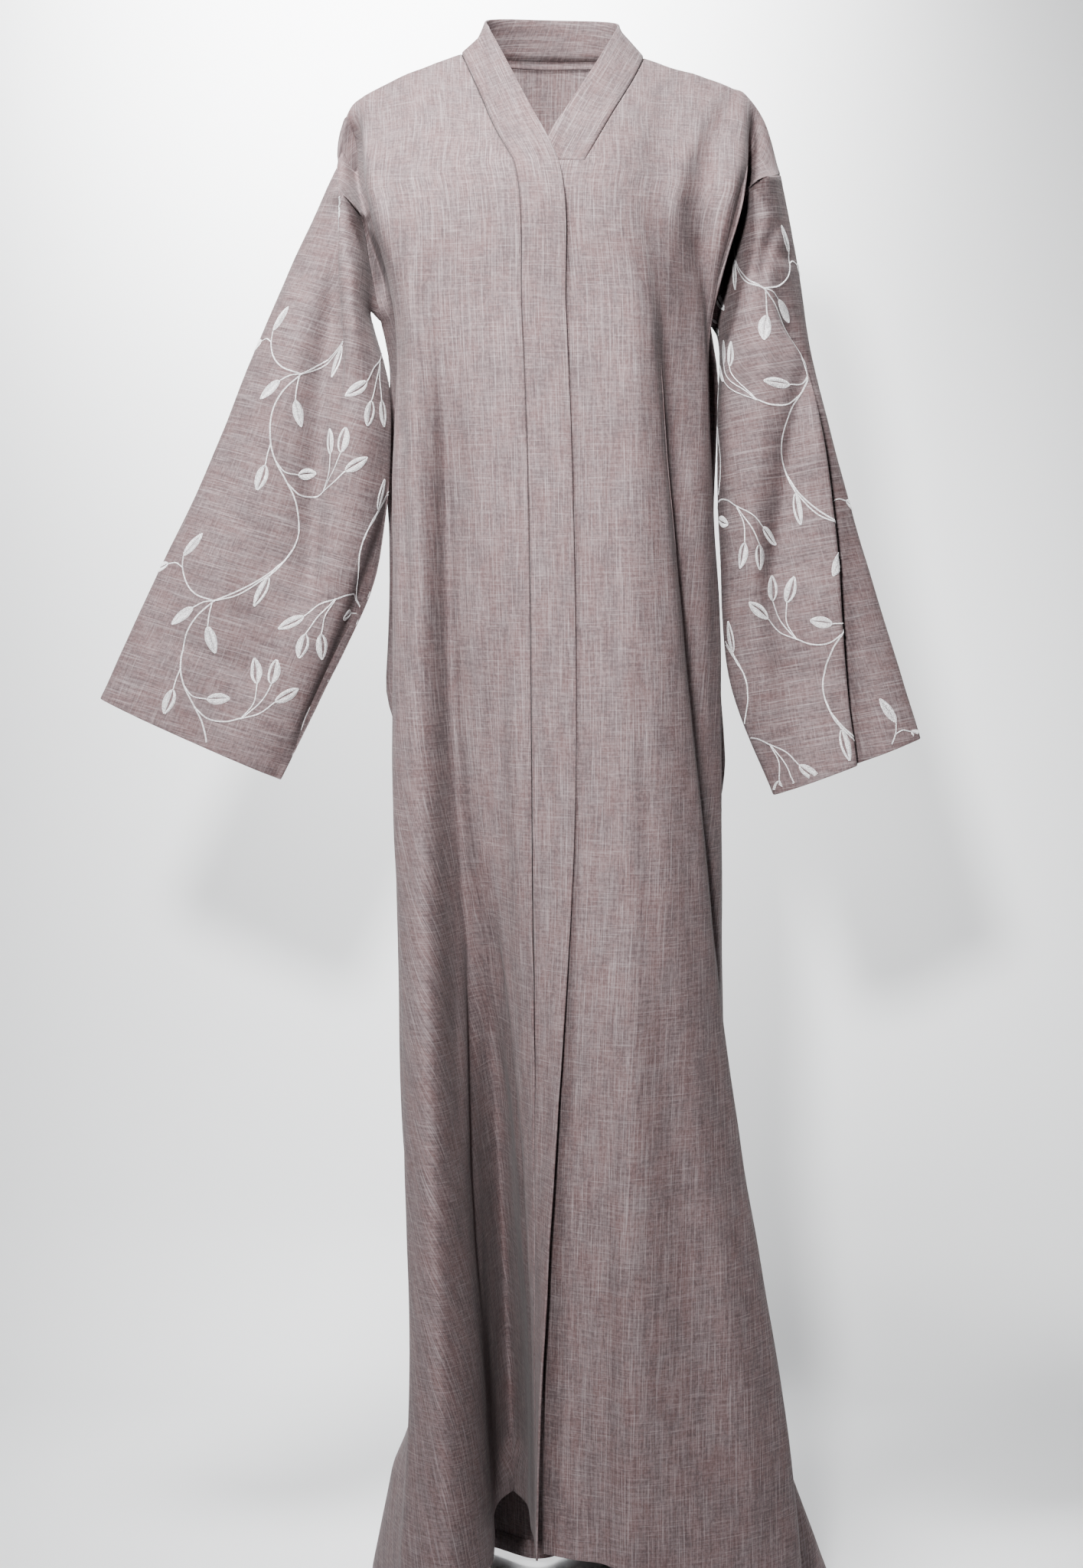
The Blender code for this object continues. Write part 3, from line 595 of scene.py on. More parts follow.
def back(right, left, armhole_right, armhole_left):
    """The back's grid. Its top and its sides are those of the fronts and the neck."""
    neck = neck_curve(NECK_BACK.seam, 2 * NECK_COLUMNS)
    top = np.concatenate([right[0, ::-1], neck[1:-1], left[0]])
    columns = [BACK_COLUMNS] * 4 + [NECK_COLUMNS] * 2 + [BACK_COLUMNS] * 4
    starts = np.cumsum([0] + columns)
    points = panel([[top[k]] + line_points(line) for k, line in zip(starts, BACK)], columns)
    last = len(top) - 1
    side_right = np.concatenate([armhole_right[: UNDERARM_ROW - 1 : -1], right[UNDERARM_ROW + 1 :, -1]])
    side_left = np.concatenate([armhole_left[: UNDERARM_ROW - 1 : -1], left[UNDERARM_ROW + 1 :, -1]])
    draw_to(points.transpose(1, 0, 2), top, range(SHOULDER_EASE))
    draw_to(points, side_right, range(ARMHOLE_EASE))
    draw_to(points, side_left, range(last, last - ARMHOLE_EASE, -1))
    return points


def sleeve(sections, ring, armhole):
    """The sleeve's grid, closed round. Its first row is the armhole."""
    stations = [np.array(ring)]
    for section in sections:
        outer, inner = mm(section.outer, section.inner)
        spots = [outer + (inner - outer) * (share / 100) for share, y in section[2:]]
        stations.append(np.array([(x, y / MM, z) for (x, z), (share, y) in zip(spots, section[2:])]))
    down = np.interp(places(SLEEVE_ROWS), range(len(SLEEVE_FALL)), SLEEVE_FALL)
    rows = curve(SLEEVE_FALL, np.array(stations), down)
    points = closed_curve(rows.transpose(1, 0, 2)).transpose(1, 0, 2)
    points[0] = armhole
    return points


def band(right, left, back_columns):
    """The band's grid: up the right front, round the neck, and down the left neckline."""
    lap = curve(FALL, line_points(LAP_EDGE), row_falls())
    edge_right = np.concatenate([neck_curve(NECK_RIGHT.edge, CHEST_ROW), lap[CHEST_ROW + 1 :]])
    edge_back = neck_curve(NECK_BACK.edge, 2 * NECK_COLUMNS)
    edge_left = neck_curve(NECK_LEFT.edge, CHEST_ROW)
    edge = np.concatenate([edge_right[::-1], edge_back[1:-1], edge_left])
    seam = np.concatenate([right[::-1, 0], back_columns, left[: CHEST_ROW + 1, 0]])
    share = np.linspace(0, 1, BAND_COLUMNS + 1).reshape(1, -1, 1)
    return seam[:, None] + (edge - seam)[:, None] * share


ring_right = closed_curve(ARMHOLE_RIGHT)
ring_left = closed_curve(ARMHOLE_LEFT)
grid_right = front(FRONT_RIGHT, NECK_RIGHT, ring_right)
grid_left = front(FRONT_LEFT, NECK_LEFT, ring_left)
grid_back = back(grid_right, grid_left, ring_right, ring_left)
under_neck = grid_back[0, grid_right.shape[1] : grid_right.shape[1] + 2 * NECK_COLUMNS - 1]
grid_band = band(grid_right, grid_left, under_neck)
print("grids", grid_right.shape, grid_left.shape, grid_back.shape, grid_band.shape)

# %% [markdown]
# ## From a grid to a piece of cloth
# A piece of cloth keeps three things for each point: where it is, which way is out, and where it lies on the
# flat cloth, in metres. The flat place comes from measuring along the grid, as a tape would. It carries
# the weave, and it is also the ruler for what is added on it, such as the embroidery.

# %% The cloth class
CLOTH = 0.0008  # thickness of one layer
FOLD_GAP = 0.0010  # between the two layers of a folded edge, from middle to middle
FOLD_ANGLES = [share * math.pi for share in (0.25, 0.5, 0.75)]  # of the mesh lines round a fold
GROOVE_SHARE = 0.6  # the most of its last mesh cells that a seam's groove takes
SLEEVE_STATIONS = 120  # lines round a sleeve that it is measured by


def unit(vectors):
    return vectors / np.linalg.norm(vectors, axis=-1, keepdims=True)


def outward(points, side, closed=False):
    """The direction out of the cloth at each point, side being 1 or -1 as the grid's hand has it."""
    if closed:
        wide = np.concatenate([points[:, -2:-1], points, points[:, 1:2]], axis=1)
        across = np.gradient(wide, axis=1)[:, 1:-1]
    else:
        across = np.gradient(points, axis=1)
    return unit(side * np.cross(across, np.gradient(points, axis=0)))


def lengths(points, axis):
    """Distance along the grid from its first row or column."""
    steps = np.linalg.norm(np.diff(points, axis=axis), axis=2)
    start = np.zeros_like(np.take(steps, [0], axis=axis))
    return np.concatenate([start, np.cumsum(steps, axis=axis)], axis=axis)


def section_of(points, axis_start, axis, at):
    """The closed line (columns, 3) round a sleeve, where it is a distance along the sleeve's axis."""
    along = (points - axis_start) @ axis
    line = np.empty((points.shape[1], 3))
    for c in range(points.shape[1]):
        k = np.clip(np.searchsorted(along[:, c], at) - 1, 0, len(points) - 2)
        t = (at - along[k, c]) / (along[k + 1, c] - along[k, c])
        line[c] = points[k, c] + (points[k + 1, c] - points[k, c]) * t
    return line


class Cloth:
    """One piece of cloth as a grid: points, the directions out, and places on the flat cloth."""

    def __init__(self, name, points, side, level_row=0, across=0.0):
        self.name = name
        self.closed = bool(np.allclose(points[:, 0], points[:, -1]))
        self.points = points.copy()
        self.out = outward(points, side, self.closed)
        self.side = side
        down = lengths(points, 0)
        down -= down[level_row]
        self.flat = np.stack([lengths(points, 1) + across, -down], axis=2)

    def border(self, edge):
        """Views of the three grids, turned so that the named edge is the last row."""
        grids = (self.points, self.out, self.flat)
        if edge in ("first column", "last column"):
            grids = tuple(grid.transpose(1, 0, 2) for grid in grids)
        if edge in ("first row", "first column"):
            grids = tuple(grid[::-1] for grid in grids)
        return grids

    def set_from(self, edge, grids):
        if edge in ("first row", "first column"):
            grids = tuple(grid[::-1] for grid in grids)
        if edge in ("first column", "last column"):
            grids = tuple(grid.transpose(1, 0, 2) for grid in grids)
        self.points, self.out, self.flat = (grid.copy() for grid in grids)

    def roll_seam(self, edge, width=0.0016, dip=0.0007):
        """Sinks an edge along its seam, with a row beside it, so that the seam is a narrow groove."""
        points, out, flat = self.border(edge)
        share = np.minimum(width / np.linalg.norm(points[-2] - points[-1], axis=1), GROOVE_SHARE)[:, None]
        beside = [grid[-1] + (grid[-2] - grid[-1]) * share for grid in (points, out, flat)]
        sunk = points[-1] - out[-1] * dip
        ends = (sunk, out[-1], flat[-1])
        self.set_from(edge, tuple(
            np.concatenate([grid[:-1], extra[None], end[None]])
            for grid, extra, end in zip((points, out, flat), beside, ends)
        ))

    def turn_in(self, edge, rows, gap=FOLD_GAP):
        """Folds an edge to the inside: round the fold, then back over as many of the grid's rows."""
        points, out, flat = self.border(edge)
        beyond = unit(points[-1] - points[-2])
        flat_beyond = unit(flat[-1] - flat[-2])
        added = []
        for angle in FOLD_ANGLES:
            place = (points[-1] + beyond * gap / 2 * math.sin(angle)
                     - out[-1] * gap / 2 * (1 - math.cos(angle)))
            added.append((place, out[-1], flat[-1] + flat_beyond * gap / 2 * angle))
        for k in range(rows):
            place = points[-1 - k] - out[-1 - k] * gap
            back_by = np.linalg.norm(points[-1 - k] - points[-1], axis=1, keepdims=True)
            added.append((place, out[-1 - k], flat[-1] + flat_beyond * (gap + back_by)))
        self.set_from(edge, tuple(
            np.concatenate([grid, np.stack([row[i] for row in added])])
            for i, grid in enumerate((points, out, flat))
        ))

    def mesh(self, absent=(0, 0)):
        """The piece as an object: a thin sheet on the grid, with its weave map and its thickness."""
        rows, columns = self.points.shape[:2]
        sheet = bmesh.new()
        bmesh.ops.create_grid(sheet, x_segments=columns - 1, y_segments=rows - 1, size=0.5)
        weave = sheet.loops.layers.uv.new("weave")
        place = {
            vert: (round((0.5 - vert.co.y) * (rows - 1)), round((vert.co.x + 0.5) * (columns - 1)))
            for vert in sheet.verts
        }
        for face in sheet.faces:
            for loop in face.loops:
                spot = self.flat[place[loop.vert]]
                loop[weave].uv = spot[::-1] if self.closed else spot
        gone = [
            face for face in sheet.faces
            if max(place[vert][0] for vert in face.verts) <= absent[0]
            and max(place[vert][1] for vert in face.verts) <= absent[1]
        ]
        for vert, spot in place.items():
            vert.co = self.points[spot]
        bmesh.ops.delete(sheet, geom=gone, context="FACES")
        if self.closed:
            bmesh.ops.remove_doubles(sheet, verts=sheet.verts[:], dist=1e-6)
        if self.side < 0:
            bmesh.ops.reverse_faces(sheet, faces=sheet.faces[:])
        data = bpy.data.meshes.new(self.name)
        sheet.to_mesh(data)
        sheet.free()
        data.shade_smooth()
        data.materials.append(LINEN)
        made = bpy.data.objects.new(self.name, data)
        bpy.context.collection.objects.link(made)
        wall = made.modifiers.new("thickness", "SOLIDIFY")
        wall.thickness = CLOTH
        wall.offset = 0
        return made


class Sleeve(Cloth):
    """A sleeve's cloth. It is measured square to the sleeve's axis: round from the top line, and along."""

    def __init__(self, name, points, side):
        rolled = np.concatenate([points[:, UNDERARM_ROW:-1], points[:, : UNDERARM_ROW + 1]], axis=1)
        super().__init__(name, rolled, side)
        self.start = points[0, :-1].mean(0)
        self.axis = unit(points[-1, :-1].mean(0) - self.start)
        self.top = points.shape[1] - 1 - UNDERARM_ROW
        self.measure()

    def measure(self):
        """Finds each point's place on the flat cloth."""
        along = (self.points - self.start) @ self.axis
        stations = np.linspace(along.min(), along.max(), SLEEVE_STATIONS)
        round_at = []
        for at in stations:
            line = section_of(self.points, self.start, self.axis, at)
            length = lengths(line[None], 1)[0]
            round_at.append(length - length[self.top])
        round_at = np.array(round_at)
        columns = range(along.shape[1])
        across = np.stack([np.interp(along[:, c], stations, round_at[:, c]) for c in columns], axis=1)
        self.flat = np.stack([across, -along], axis=2)


def share_directions(pieces):
    """Gives pieces that meet at a seam one direction there."""
    points = np.concatenate([piece.points.reshape(-1, 3) for piece in pieces])
    directions = np.concatenate([piece.out.reshape(-1, 3) for piece in pieces])
    index = np.unique(np.round(points, 6), axis=0, return_inverse=True)[1].reshape(-1)
    total = np.zeros((index.max() + 1, 3))
    np.add.at(total, index, directions)
    shared = unit(total)[index]
    start = 0
    for piece in pieces:
        count = piece.out[..., 0].size
        piece.out = shared[start : start + count].reshape(piece.out.shape)
        start += count


def neck_offset(grid):
    """How much further from the centre each row of a front starts than its chest row does."""
    beyond = np.abs(grid[:, 0, 0]) - abs(grid[CHEST_ROW, 0, 0])
    beyond[CHEST_ROW:] = 0
    return beyond[:, None]


grid_underlap = underlap(grid_left)
underlap_widths = lengths(grid_underlap[:, : FRONT_COLUMNS + 1], 1)[:, -1:]
neck_offset_left = neck_offset(grid_left) - underlap_widths + underlap_widths[CHEST_ROW]
cut_right = Cloth("front_right_cloth", grid_right, 1, UNDERARM_ROW, neck_offset(grid_right))
cut_left = Cloth("front_left_cloth", grid_underlap, -1, UNDERARM_ROW, neck_offset_left)
middle = grid_back.shape[1] // 2
to_middle = lengths(grid_back, 1)[:, middle : middle + 1]
cut_back = Cloth("back_cloth", grid_back, 1, UNDERARM_ROW, -to_middle)
cut_sleeve_right = Sleeve("sleeve_right_cloth", sleeve(SLEEVE_RIGHT, ARMHOLE_RIGHT, ring_right), -1)
cut_sleeve_left = Sleeve("sleeve_left_cloth", sleeve(SLEEVE_LEFT, ARMHOLE_LEFT, ring_left), 1)
cut_band = Cloth("band_cloth", grid_band, 1)
CUT = [cut_right, cut_left, cut_back, cut_sleeve_right, cut_sleeve_left, cut_band]
share_directions(CUT)
for piece in CUT:
    print(piece.name, "flat size", np.round(np.ptp(piece.flat.reshape(-1, 2), axis=0), 3))

# %% [markdown]
# ## Soft unevenness
# Hung cloth is never as even as its main folds. Two gentle noises, long in the direction of the fall, move
# every point a little along its own outward direction. They depend only on the place, so pieces that share
# a seam move together there.

# %% Undulate
RIPPLES = (  # height, and cycles per metre across, front to back and down
    (0.0022, (14, 14, 5)),
    (0.0007, (38, 38, 17)),
)


def undulate(piece):
    spots = piece.points.reshape(-1, 3)
    lift = np.zeros(len(spots))
    for height, cycles in RIPPLES:
        lift += height * np.array([noise.noise(Vector(spot * cycles)) for spot in spots])
    piece.points += piece.out * lift.reshape(*piece.points.shape[:2], 1)


for piece in CUT:
    undulate(piece)
print("undulated", len(CUT))

# %% [markdown]
# ## Creases
# The large folds are in the panels already. The creases between them are put in one line at a
# time, as a tailor would chalk them. A crease is a soft trough or ridge with a gentle side and a steep one.
# It runs along a short path seen from one face of the cloak and dies out at its ends. Each moves the cloth
# straight towards that face or away from it, so the cloak keeps its outline seen from there.

# %% Chart the creases
Crease = namedtuple("Crease", "on face height left right path")
# In a row, in millimetres: the height, the widths to the left and right of a falling line, the line's points
CREASE_CHART = (
    ("all", "front", (
        # the grooves between body and sleeves, and the folds beside them
        (-20, 6, 9, (-191, -50), (-188, -102), (-180, -141), (-172, -174), (-161, -204), (-150, -240)),
        (15, 8, 8, (-204, -122), (-197, -134), (-190, -140), (-184, -147), (-179, -160)),
        (-22, 15, 7, (-196, -50), (-189, -100), (-177, -160), (-164, -205), (-152, -255)),
    )),
    ("body", "front", (
        (5, 8, 18, (-176, -60), (-163, -140), (-152, -190), (-143, -230), (-139, -290)),
    )),
    ("all", "front", (
        (-20, 9, 6, (197, -40), (199, -75), (192, -125), (183, -165), (175, -198), (165, -240)),
        (-26, 6, 18, (192, -110), (181, -175), (170, -230), (162, -300)),
    )),
    ("body", "front", (
        (4, 16, 8, (186, -80), (174, -150), (160, -205), (153, -250)),
        (-9, 22, 20, (150, -130), (141, -200), (136, -300), (138, -420)),
        # drag lines that fall from the ends of the shoulders
        (-2.5, 10, 8, (-165, -45), (-147, -120), (-134, -180)),
        (-3, 10, 12, (162, -45), (146, -110), (128, -180)),
        (-1.6, 10, 10, (-120, -30), (-112, -90), (-100, -150)),
        (-1.8, 12, 10, (110, -20), (104, -80), (88, -150)),
        # the pleat that starts below the wearer's right breast, and its ridge
        (-5.5, 6, 5, (-128, -150), (-137, -223), (-140, -295), (-139, -359), (-135, -460), (-132, -580)),
        (4.5, 7, 14, (-112, -160), (-124, -250), (-127, -340), (-125, -500), (-129, -700), (-124, -900)),
        (-19, 11, 18, (-98, -260), (-96, -400), (-96, -560), (-93, -750), (-88, -950), (-82, -1100)),
        (6, 11, 12, (-72, -480), (-69, -700), (-63, -950)),
        (-12, 14, 8, (-48, -450), (-44, -650), (-38, -850), (-32, -1050), (-28, -1250)),
        (-3, 8, 8, (-108, -1150), (-112, -1280), (-110, -1420)),
        (-2.2, 7, 9, (-130, -980), (-128, -1120), (-126, -1240)),
        # the edge of the wearer's left front, and what falls behind it
        (5.5, 18, 6, (85, -150), (96, -259), (104, -345), (111, -424), (119, -511), (137, -657),
         (160, -793), (178, -950)),
        (-10, 6, 12, (104, -190), (112, -300), (121, -424), (130, -511), (149, -657), (171, -793)),
        # soft lines down the left front
        (4, 18, 20, (74, -780), (80, -1030), (84, -1200), (87, -1430)),
        (-4.5, 11, 13, (30, -930), (27, -1150), (26, -1420)),
        (-3.5, 10, 11, (54, -1080), (59, -1250), (62, -1430)),
        (-6, 20, 24, (104, -850), (128, -1120), (155, -1400)),
        (3.5, 16, 14, (150, -1050), (182, -1230), (212, -1440)),
        (-2.5, 10, 12, (50, -250), (60, -420), (62, -620)),
        (2.2, 14, 12, (76, -200), (86, -360), (94, -520)),
        (-2, 9, 11, (82, -560), (92, -700), (98, -860)),
    )),
    ("sleeve", "front", (
        (7, 8, 13, (-206, -80), (-202, -130), (-198, -188), (-192, -252), (-184, -330)),
        (-17, 16, 10, (-206, -170), (-211, -254), (-220, -320), (-223, -380), (-228, -470), (-236, -560)),
        (3.5, 13, 16, (-240, -180), (-258, -290), (-275, -400)),
        (-4, 5, 12, (-402, -556), (-368, -566), (-325, -581), (-270, -606)),
        (-4.5, 11, 9, (-306, -520), (-290, -560), (-276, -610)),
        (-3.5, 10, 10, (-296, -430), (-283, -465), (-266, -500)),
        (-3, 10, 12, (-350, -480), (-368, -530), (-372, -590)),
        # the back of the sleeve shows beyond its front edge
        (-22, 4, 22, (-151, -390), (-160, -440), (-178, -495), (-204, -563), (-233, -632), (-255, -690)),
        (-10, 10, 13, (256, -270), (247, -305), (235, -372), (226, -446), (217, -530)),
        (4, 14, 12, (214, -230), (208, -320), (200, -440), (200, -560)),
        (-4.5, 6, 9, (200, -176), (218, -190), (244, -194)),
        (-4.5, 7, 6, (226, -150), (211, -186), (202, -226)),
        (-3.5, 10, 10, (196, -300), (184, -330), (178, -380)),
        (-3, 6, 10, (214, -586), (250, -600), (284, -590)),
        (3, 10, 12, (262, -480), (266, -560), (272, -640)),
    )),
    ("sleeve", "back", (
        (-10, 14, 12, (-214, -180), (-230, -300), (-262, -430), (-300, -560)),
        (5, 12, 12, (-190, -240), (-200, -360), (-226, -480)),
        (-4, 9, 11, (-330, -420), (-310, -470), (-276, -500)),
        (-4, 8, 12, (-390, -560), (-350, -580), (-310, -610)),
        (-10, 13, 14, (206, -200), (216, -320), (238, -450), (270, -600)),
        (4.5, 12, 12, (236, -230), (256, -360), (280, -480)),
        (-4, 9, 10, (190, -300), (206, -350), (230, -380)),
        (-3.5, 8, 12, (220, -560), (258, -580), (300, -560)),
    )),
    ("all", "back", (
        (-14, 7, 10, (-196, -70), (-192, -130), (-180, -190), (-160, -245)),
        (-14, 10, 7, (205, -80), (198, -135), (182, -195), (158, -245)),
    )),
    ("body", "back", (
        (-4, 10, 8, (-172, -130), (-130, -210), (-80, -290)),
        (-3.2, 8, 10, (-150, -200), (-112, -300), (-92, -420)),
        (-4, 8, 10, (176, -140), (128, -230), (70, -300)),
        (-3, 10, 8, (150, -210), (118, -310), (102, -430)),
        (-2.5, 9, 12, (-60, -70), (0, -100), (62, -72)),
        (-6, 13, 10, (-82, -340), (-78, -600), (-86, -900), (-94, -1150)),
        (4.5, 14, 16, (-50, -300), (-46, -600), (-52, -950)),
        (-5.5, 10, 14, (-6, -380), (0, -700), (-6, -1100), (-4, -1400)),
        (4.5, 15, 13, (40, -330), (46, -700), (56, -1100)),
        (-6, 12, 12, (82, -360), (90, -650), (100, -950), (120, -1250)),
        (-3.5, 8, 10, (-112, -620), (-116, -860), (-124, -1080)),
        (-3.5, 10, 9, (128, -560), (138, -840), (152, -1120)),
        (-3, 9, 9, (-46, -1180), (-50, -1320), (-52, -1500)),
        (-3, 9, 10, (30, -1150), (34, -1330), (36, -1500)),
    )),
    # seen from a side, a point is (y, z), and left is to the front
    ("body", "right", (
        (-4.5, 10, 12, (16, -300), (26, -500), (30, -760), (40, -1050)),
        (3.5, 12, 12, (-30, -420), (-34, -700), (-50, -1000)),
        (-3.5, 10, 10, (-60, -800), (-80, -1050), (-96, -1300)),
        (8, 40, 50, (30, -1370), (40, -1460), (60, -1560)),
        (24, 18, 26, (36, -270), (38, -400), (41, -700)),
    )),
    ("body", "left", (
        (-4.5, 12, 10, (20, -320), (32, -540), (40, -800), (60, -1100)),
        (3.5, 12, 12, (-26, -440), (-30, -720), (-36, -1000)),
        (-4, 10, 10, (-50, -700), (-56, -950), (-60, -1250)),
        (12, 40, 60, (20, -1380), (40, -1460), (60, -1560)),
        (27, 18, 26, (34, -180), (44, -400), (52, -820)),
    )),
)
CREASES = [
    Crease(on, face, *mm(height, left, right), mm(*path))
    for on, face, rows in CREASE_CHART
    for height, left, right, *path in rows
]
print("creases", len(CREASES))

# %% Put the creases in
FACES = {"front": (0, (0, -1, 0)), "back": (0, (0, 1, 0)), "left": (1, (1, 0, 0)), "right": (1, (-1, 0, 0))}
CREASE_TAPER = 0.22  # share of a crease's length over which each end dies out
CREASE_STEPS = 48
SEAM_FADE = 0.014  # distance from the armhole over which a crease of only one side of it starts
FACING = {"all": -0.35, "body": 0.05, "sleeve": 0.05}  # cloth that faces a crease's face less doesn't take it
FACING_EASE = 0.35  # how much further it has to face that way to take all of it


def ease(value):
    """0 below 0, 1 above 1, smooth between."""
    value = np.clip(value, 0, 1)
    return value * value * (3 - 2 * value)


def crease_lift(crease, piece):
    """How far a crease moves each point of a piece."""
    axis, ahead = FACES[crease.face]
    path = curve(range(len(crease.path)), crease.path, np.linspace(0, len(crease.path) - 1, CREASE_STEPS))
    run = lengths(path[None], 1)[0]
    direction = unit(np.gradient(path, axis=0))
    spots = piece.points.reshape(-1, 3)[:, (axis, 2)]
    nearest = np.linalg.norm(spots[:, None] - path, axis=2).argmin(axis=1)
    beside, direction = spots - path[nearest], direction[nearest]
    off = direction[:, 0] * beside[:, 1] - direction[:, 1] * beside[:, 0]
    share = (run[nearest] + (beside * direction).sum(1)) / run[-1]
    profile = np.exp(-((off / np.where(off > 0, crease.right, crease.left)) ** 2))
    facing = ease((piece.out.reshape(-1, 3) @ ahead - FACING[crease.on]) / FACING_EASE)
    return crease.height * profile * ease(np.minimum(share, 1 - share) / CREASE_TAPER) * facing


def crease_all(piece, armholes):
    """Puts every crease into a piece."""
    spots = piece.points.reshape(-1, 3)
    to_seam = np.array([np.linalg.norm(armholes - spot, axis=1).min() for spot in spots])
    alone = ease(to_seam / SEAM_FADE)
    kind = "sleeve" if piece.closed else "body"
    shift = np.zeros_like(spots)
    for crease in CREASES:
        if crease.on in ("all", kind):
            lift = crease_lift(crease, piece) * (1 if crease.on == "all" else alone)
            shift += lift[:, None] * FACES[crease.face][1]
    piece.points += shift.reshape(piece.points.shape)


armholes = np.concatenate([cut_sleeve_right.points[0], cut_sleeve_left.points[0]])
for piece in CUT:
    crease_all(piece, armholes)
for piece in CUT:
    piece.out = outward(piece.points, piece.side, piece.closed)
share_directions(CUT)
for piece in (cut_sleeve_right, cut_sleeve_left):
    piece.measure()
print("creased", len(CUT))

# %% [markdown]
# ## The vine's chart
# A scrolling vine is one short repeat, stitched again and again down the sleeve. The chart gives it in
# millimetres: across the sleeve, and along it, from the knot where two stems cross. The main stem swings
# out and back to the next knot. A leaf is a base, a tip, a width, and how far its open half stays empty.

# %% Chart one repeat
REPEAT = 234  # millimetres along the sleeve
Stem = namedtuple("Stem", "width points")
Leaf = namedtuple("Leaf", "base tip width slit")
STEMS = (
    Stem(1.9, ((0, 0), (-10, 20), (-13, 43), (-6, 70), (4, 87), (20, 103), (35, 118), (46, 136), (51, 154),
               (48, 176), (37, 196), (19, 217), (0, 234))),
    Stem(1.6, ((50, 166), (45, 186), (34, 203), (19, 222), (0, 234))),
    Stem(1.7, ((0, 0), (-19, -1), (-35, -9), (-46, -21), (-51, -34))),
    Stem(1.3, ((-48, -23), (-56, -25), (-64, -22))),
    Stem(1.4, ((0, 0), (-9, 4), (-17, 12))),
    Stem(1.4, ((-1, 3), (1, 15), (4, 26))),
    Stem(1.2, ((47, -55), (42, -46), (40, -37))),
    Stem(1.4, ((-5, 73), (-5, 84), (-4, 94))),
    Stem(1.4, ((5, 88), (16, 95), (30, 94))),
    Stem(1.7, ((22, 105), (38, 112), (55, 110), (69, 102))),
    Stem(1.2, ((68, 103), (74, 85), (70, 66))),
    Stem(1.4, ((69, 102), (80, 82), (84, 62))),
    Stem(1.4, ((68, 103), (83, 93), (93, 78))),
)
LEAVES = (
    Leaf((-51, -34), (-41, -60), 9.5, 0.10),
    Leaf((-64, -22), (-86, -10), 10.0, 0.30),
    Leaf((-17, 12), (-33, 34), 10.5, 0.00),
    Leaf((4, 26), (20, 49), 10.5, 0.08),
    Leaf((40, -37), (38, -5), 9.5, 0.62),
    Leaf((-4, 94), (-3, 120), 11.5, 0.42),
    Leaf((30, 94), (51, 87), 11.0, 0.25),
    Leaf((70, 66), (57, 42), 11.0, 0.50),
    Leaf((84, 62), (80, 37), 11.5, 0.60),
    Leaf((93, 78), (111, 59), 10.5, 0.35),
)
print("stems", len(STEMS), "leaves", len(LEAVES))

# %% [markdown]
# ## Where the chart falls on a sleeve
# The machine stitches the flat cloth before it is sewn, so the columns of the vine run straight down the
# sleeve, every second one turned upside down, and the seams simply cut them off. The ruler below finds the
# point of the worn sleeve for a place on the flat cloth. It holds a line round the sleeve every two
# millimetres, with the distance from the top line at each of its points.

# %% Lay a ruler over a sleeve
RULER_STEP = 0.002
SEAM_CLEAR = 0.004  # nothing is stitched closer to a seam
ROW_APART = 10.0  # keeps the rows of the ruler apart in one sorted list, as it is wider than a sleeve


class Ruler:
    """Finds points of a sleeve from their places on the flat cloth."""

    def __init__(self, piece):
        along = (piece.points - piece.start) @ piece.axis
        self.first = along.min()
        stations = np.arange(self.first, along.max() + RULER_STEP, RULER_STEP)
        columns = range(along.shape[1])
        both = np.concatenate([piece.points, piece.out], axis=2)
        self.lines = np.stack([
            np.stack([np.interp(stations, along[:, c], both[:, c, k]) for k in range(6)], axis=1)
            for c in columns
        ], axis=1)
        length = lengths(self.lines[..., :3], 1)
        self.across = length - length[:, piece.top : piece.top + 1]
        self.begin, self.end = along[0], along[-1]

    def find(self, across, along):
        """The points, the directions out, and whether each place is on the cloth."""
        across, along = np.asarray(across, float), np.asarray(along, float)
        station = np.clip((along - self.first) / RULER_STEP, 0, len(self.lines) - 1.001)
        low = station.astype(int)
        found = 0
        inside = np.ones(across.shape, bool)
        count = self.across.shape[1]
        stacked = (self.across + ROW_APART * np.arange(len(self.across))[:, None]).ravel()
        for row, share in ((low, 1 - (station - low)), (low + 1, station - low)):
            found_at = np.searchsorted(stacked, across + ROW_APART * row)
            column = np.clip(found_at - 1 - row * count, 0, count - 2)
            start, stop = self.across[row, column], self.across[row, column + 1]
            t = ((across - start) / (stop - start))[:, None]
            spot = self.lines[row, column] * (1 - t) + self.lines[row, column + 1] * t
            found = found + share[:, None] * spot
            inside &= across > self.across[row, 0] + SEAM_CLEAR
            inside &= across < self.across[row, -1] - SEAM_CLEAR
            inside &= along > self.begin[column] + SEAM_CLEAR
            inside &= along < self.end[column] - SEAM_CLEAR
        return found[:, :3], unit(found[:, 3:]), inside


rulers = {piece.name: Ruler(piece) for piece in (cut_sleeve_right, cut_sleeve_left)}
for name, ruler in rulers.items():
    girths = np.ptp(ruler.across, axis=1)
    print(name, "girth", np.round(girths[[0, len(girths) // 2, -1]], 3), "stations", len(girths))

# %% [markdown]
# ## Stitches
# The vine is stitched in a pale silver thread. A stem is a row of short slanting stitches side by side,
# which reads as a fine rope. A leaf is satin stitch: the thread runs from the vein to the edge and back, one
# half filled, the other only along its edge when the leaf is open. Each stitch stands a little proud in its
# middle. All are made on the flat cloth and then laid on the worn sleeve.

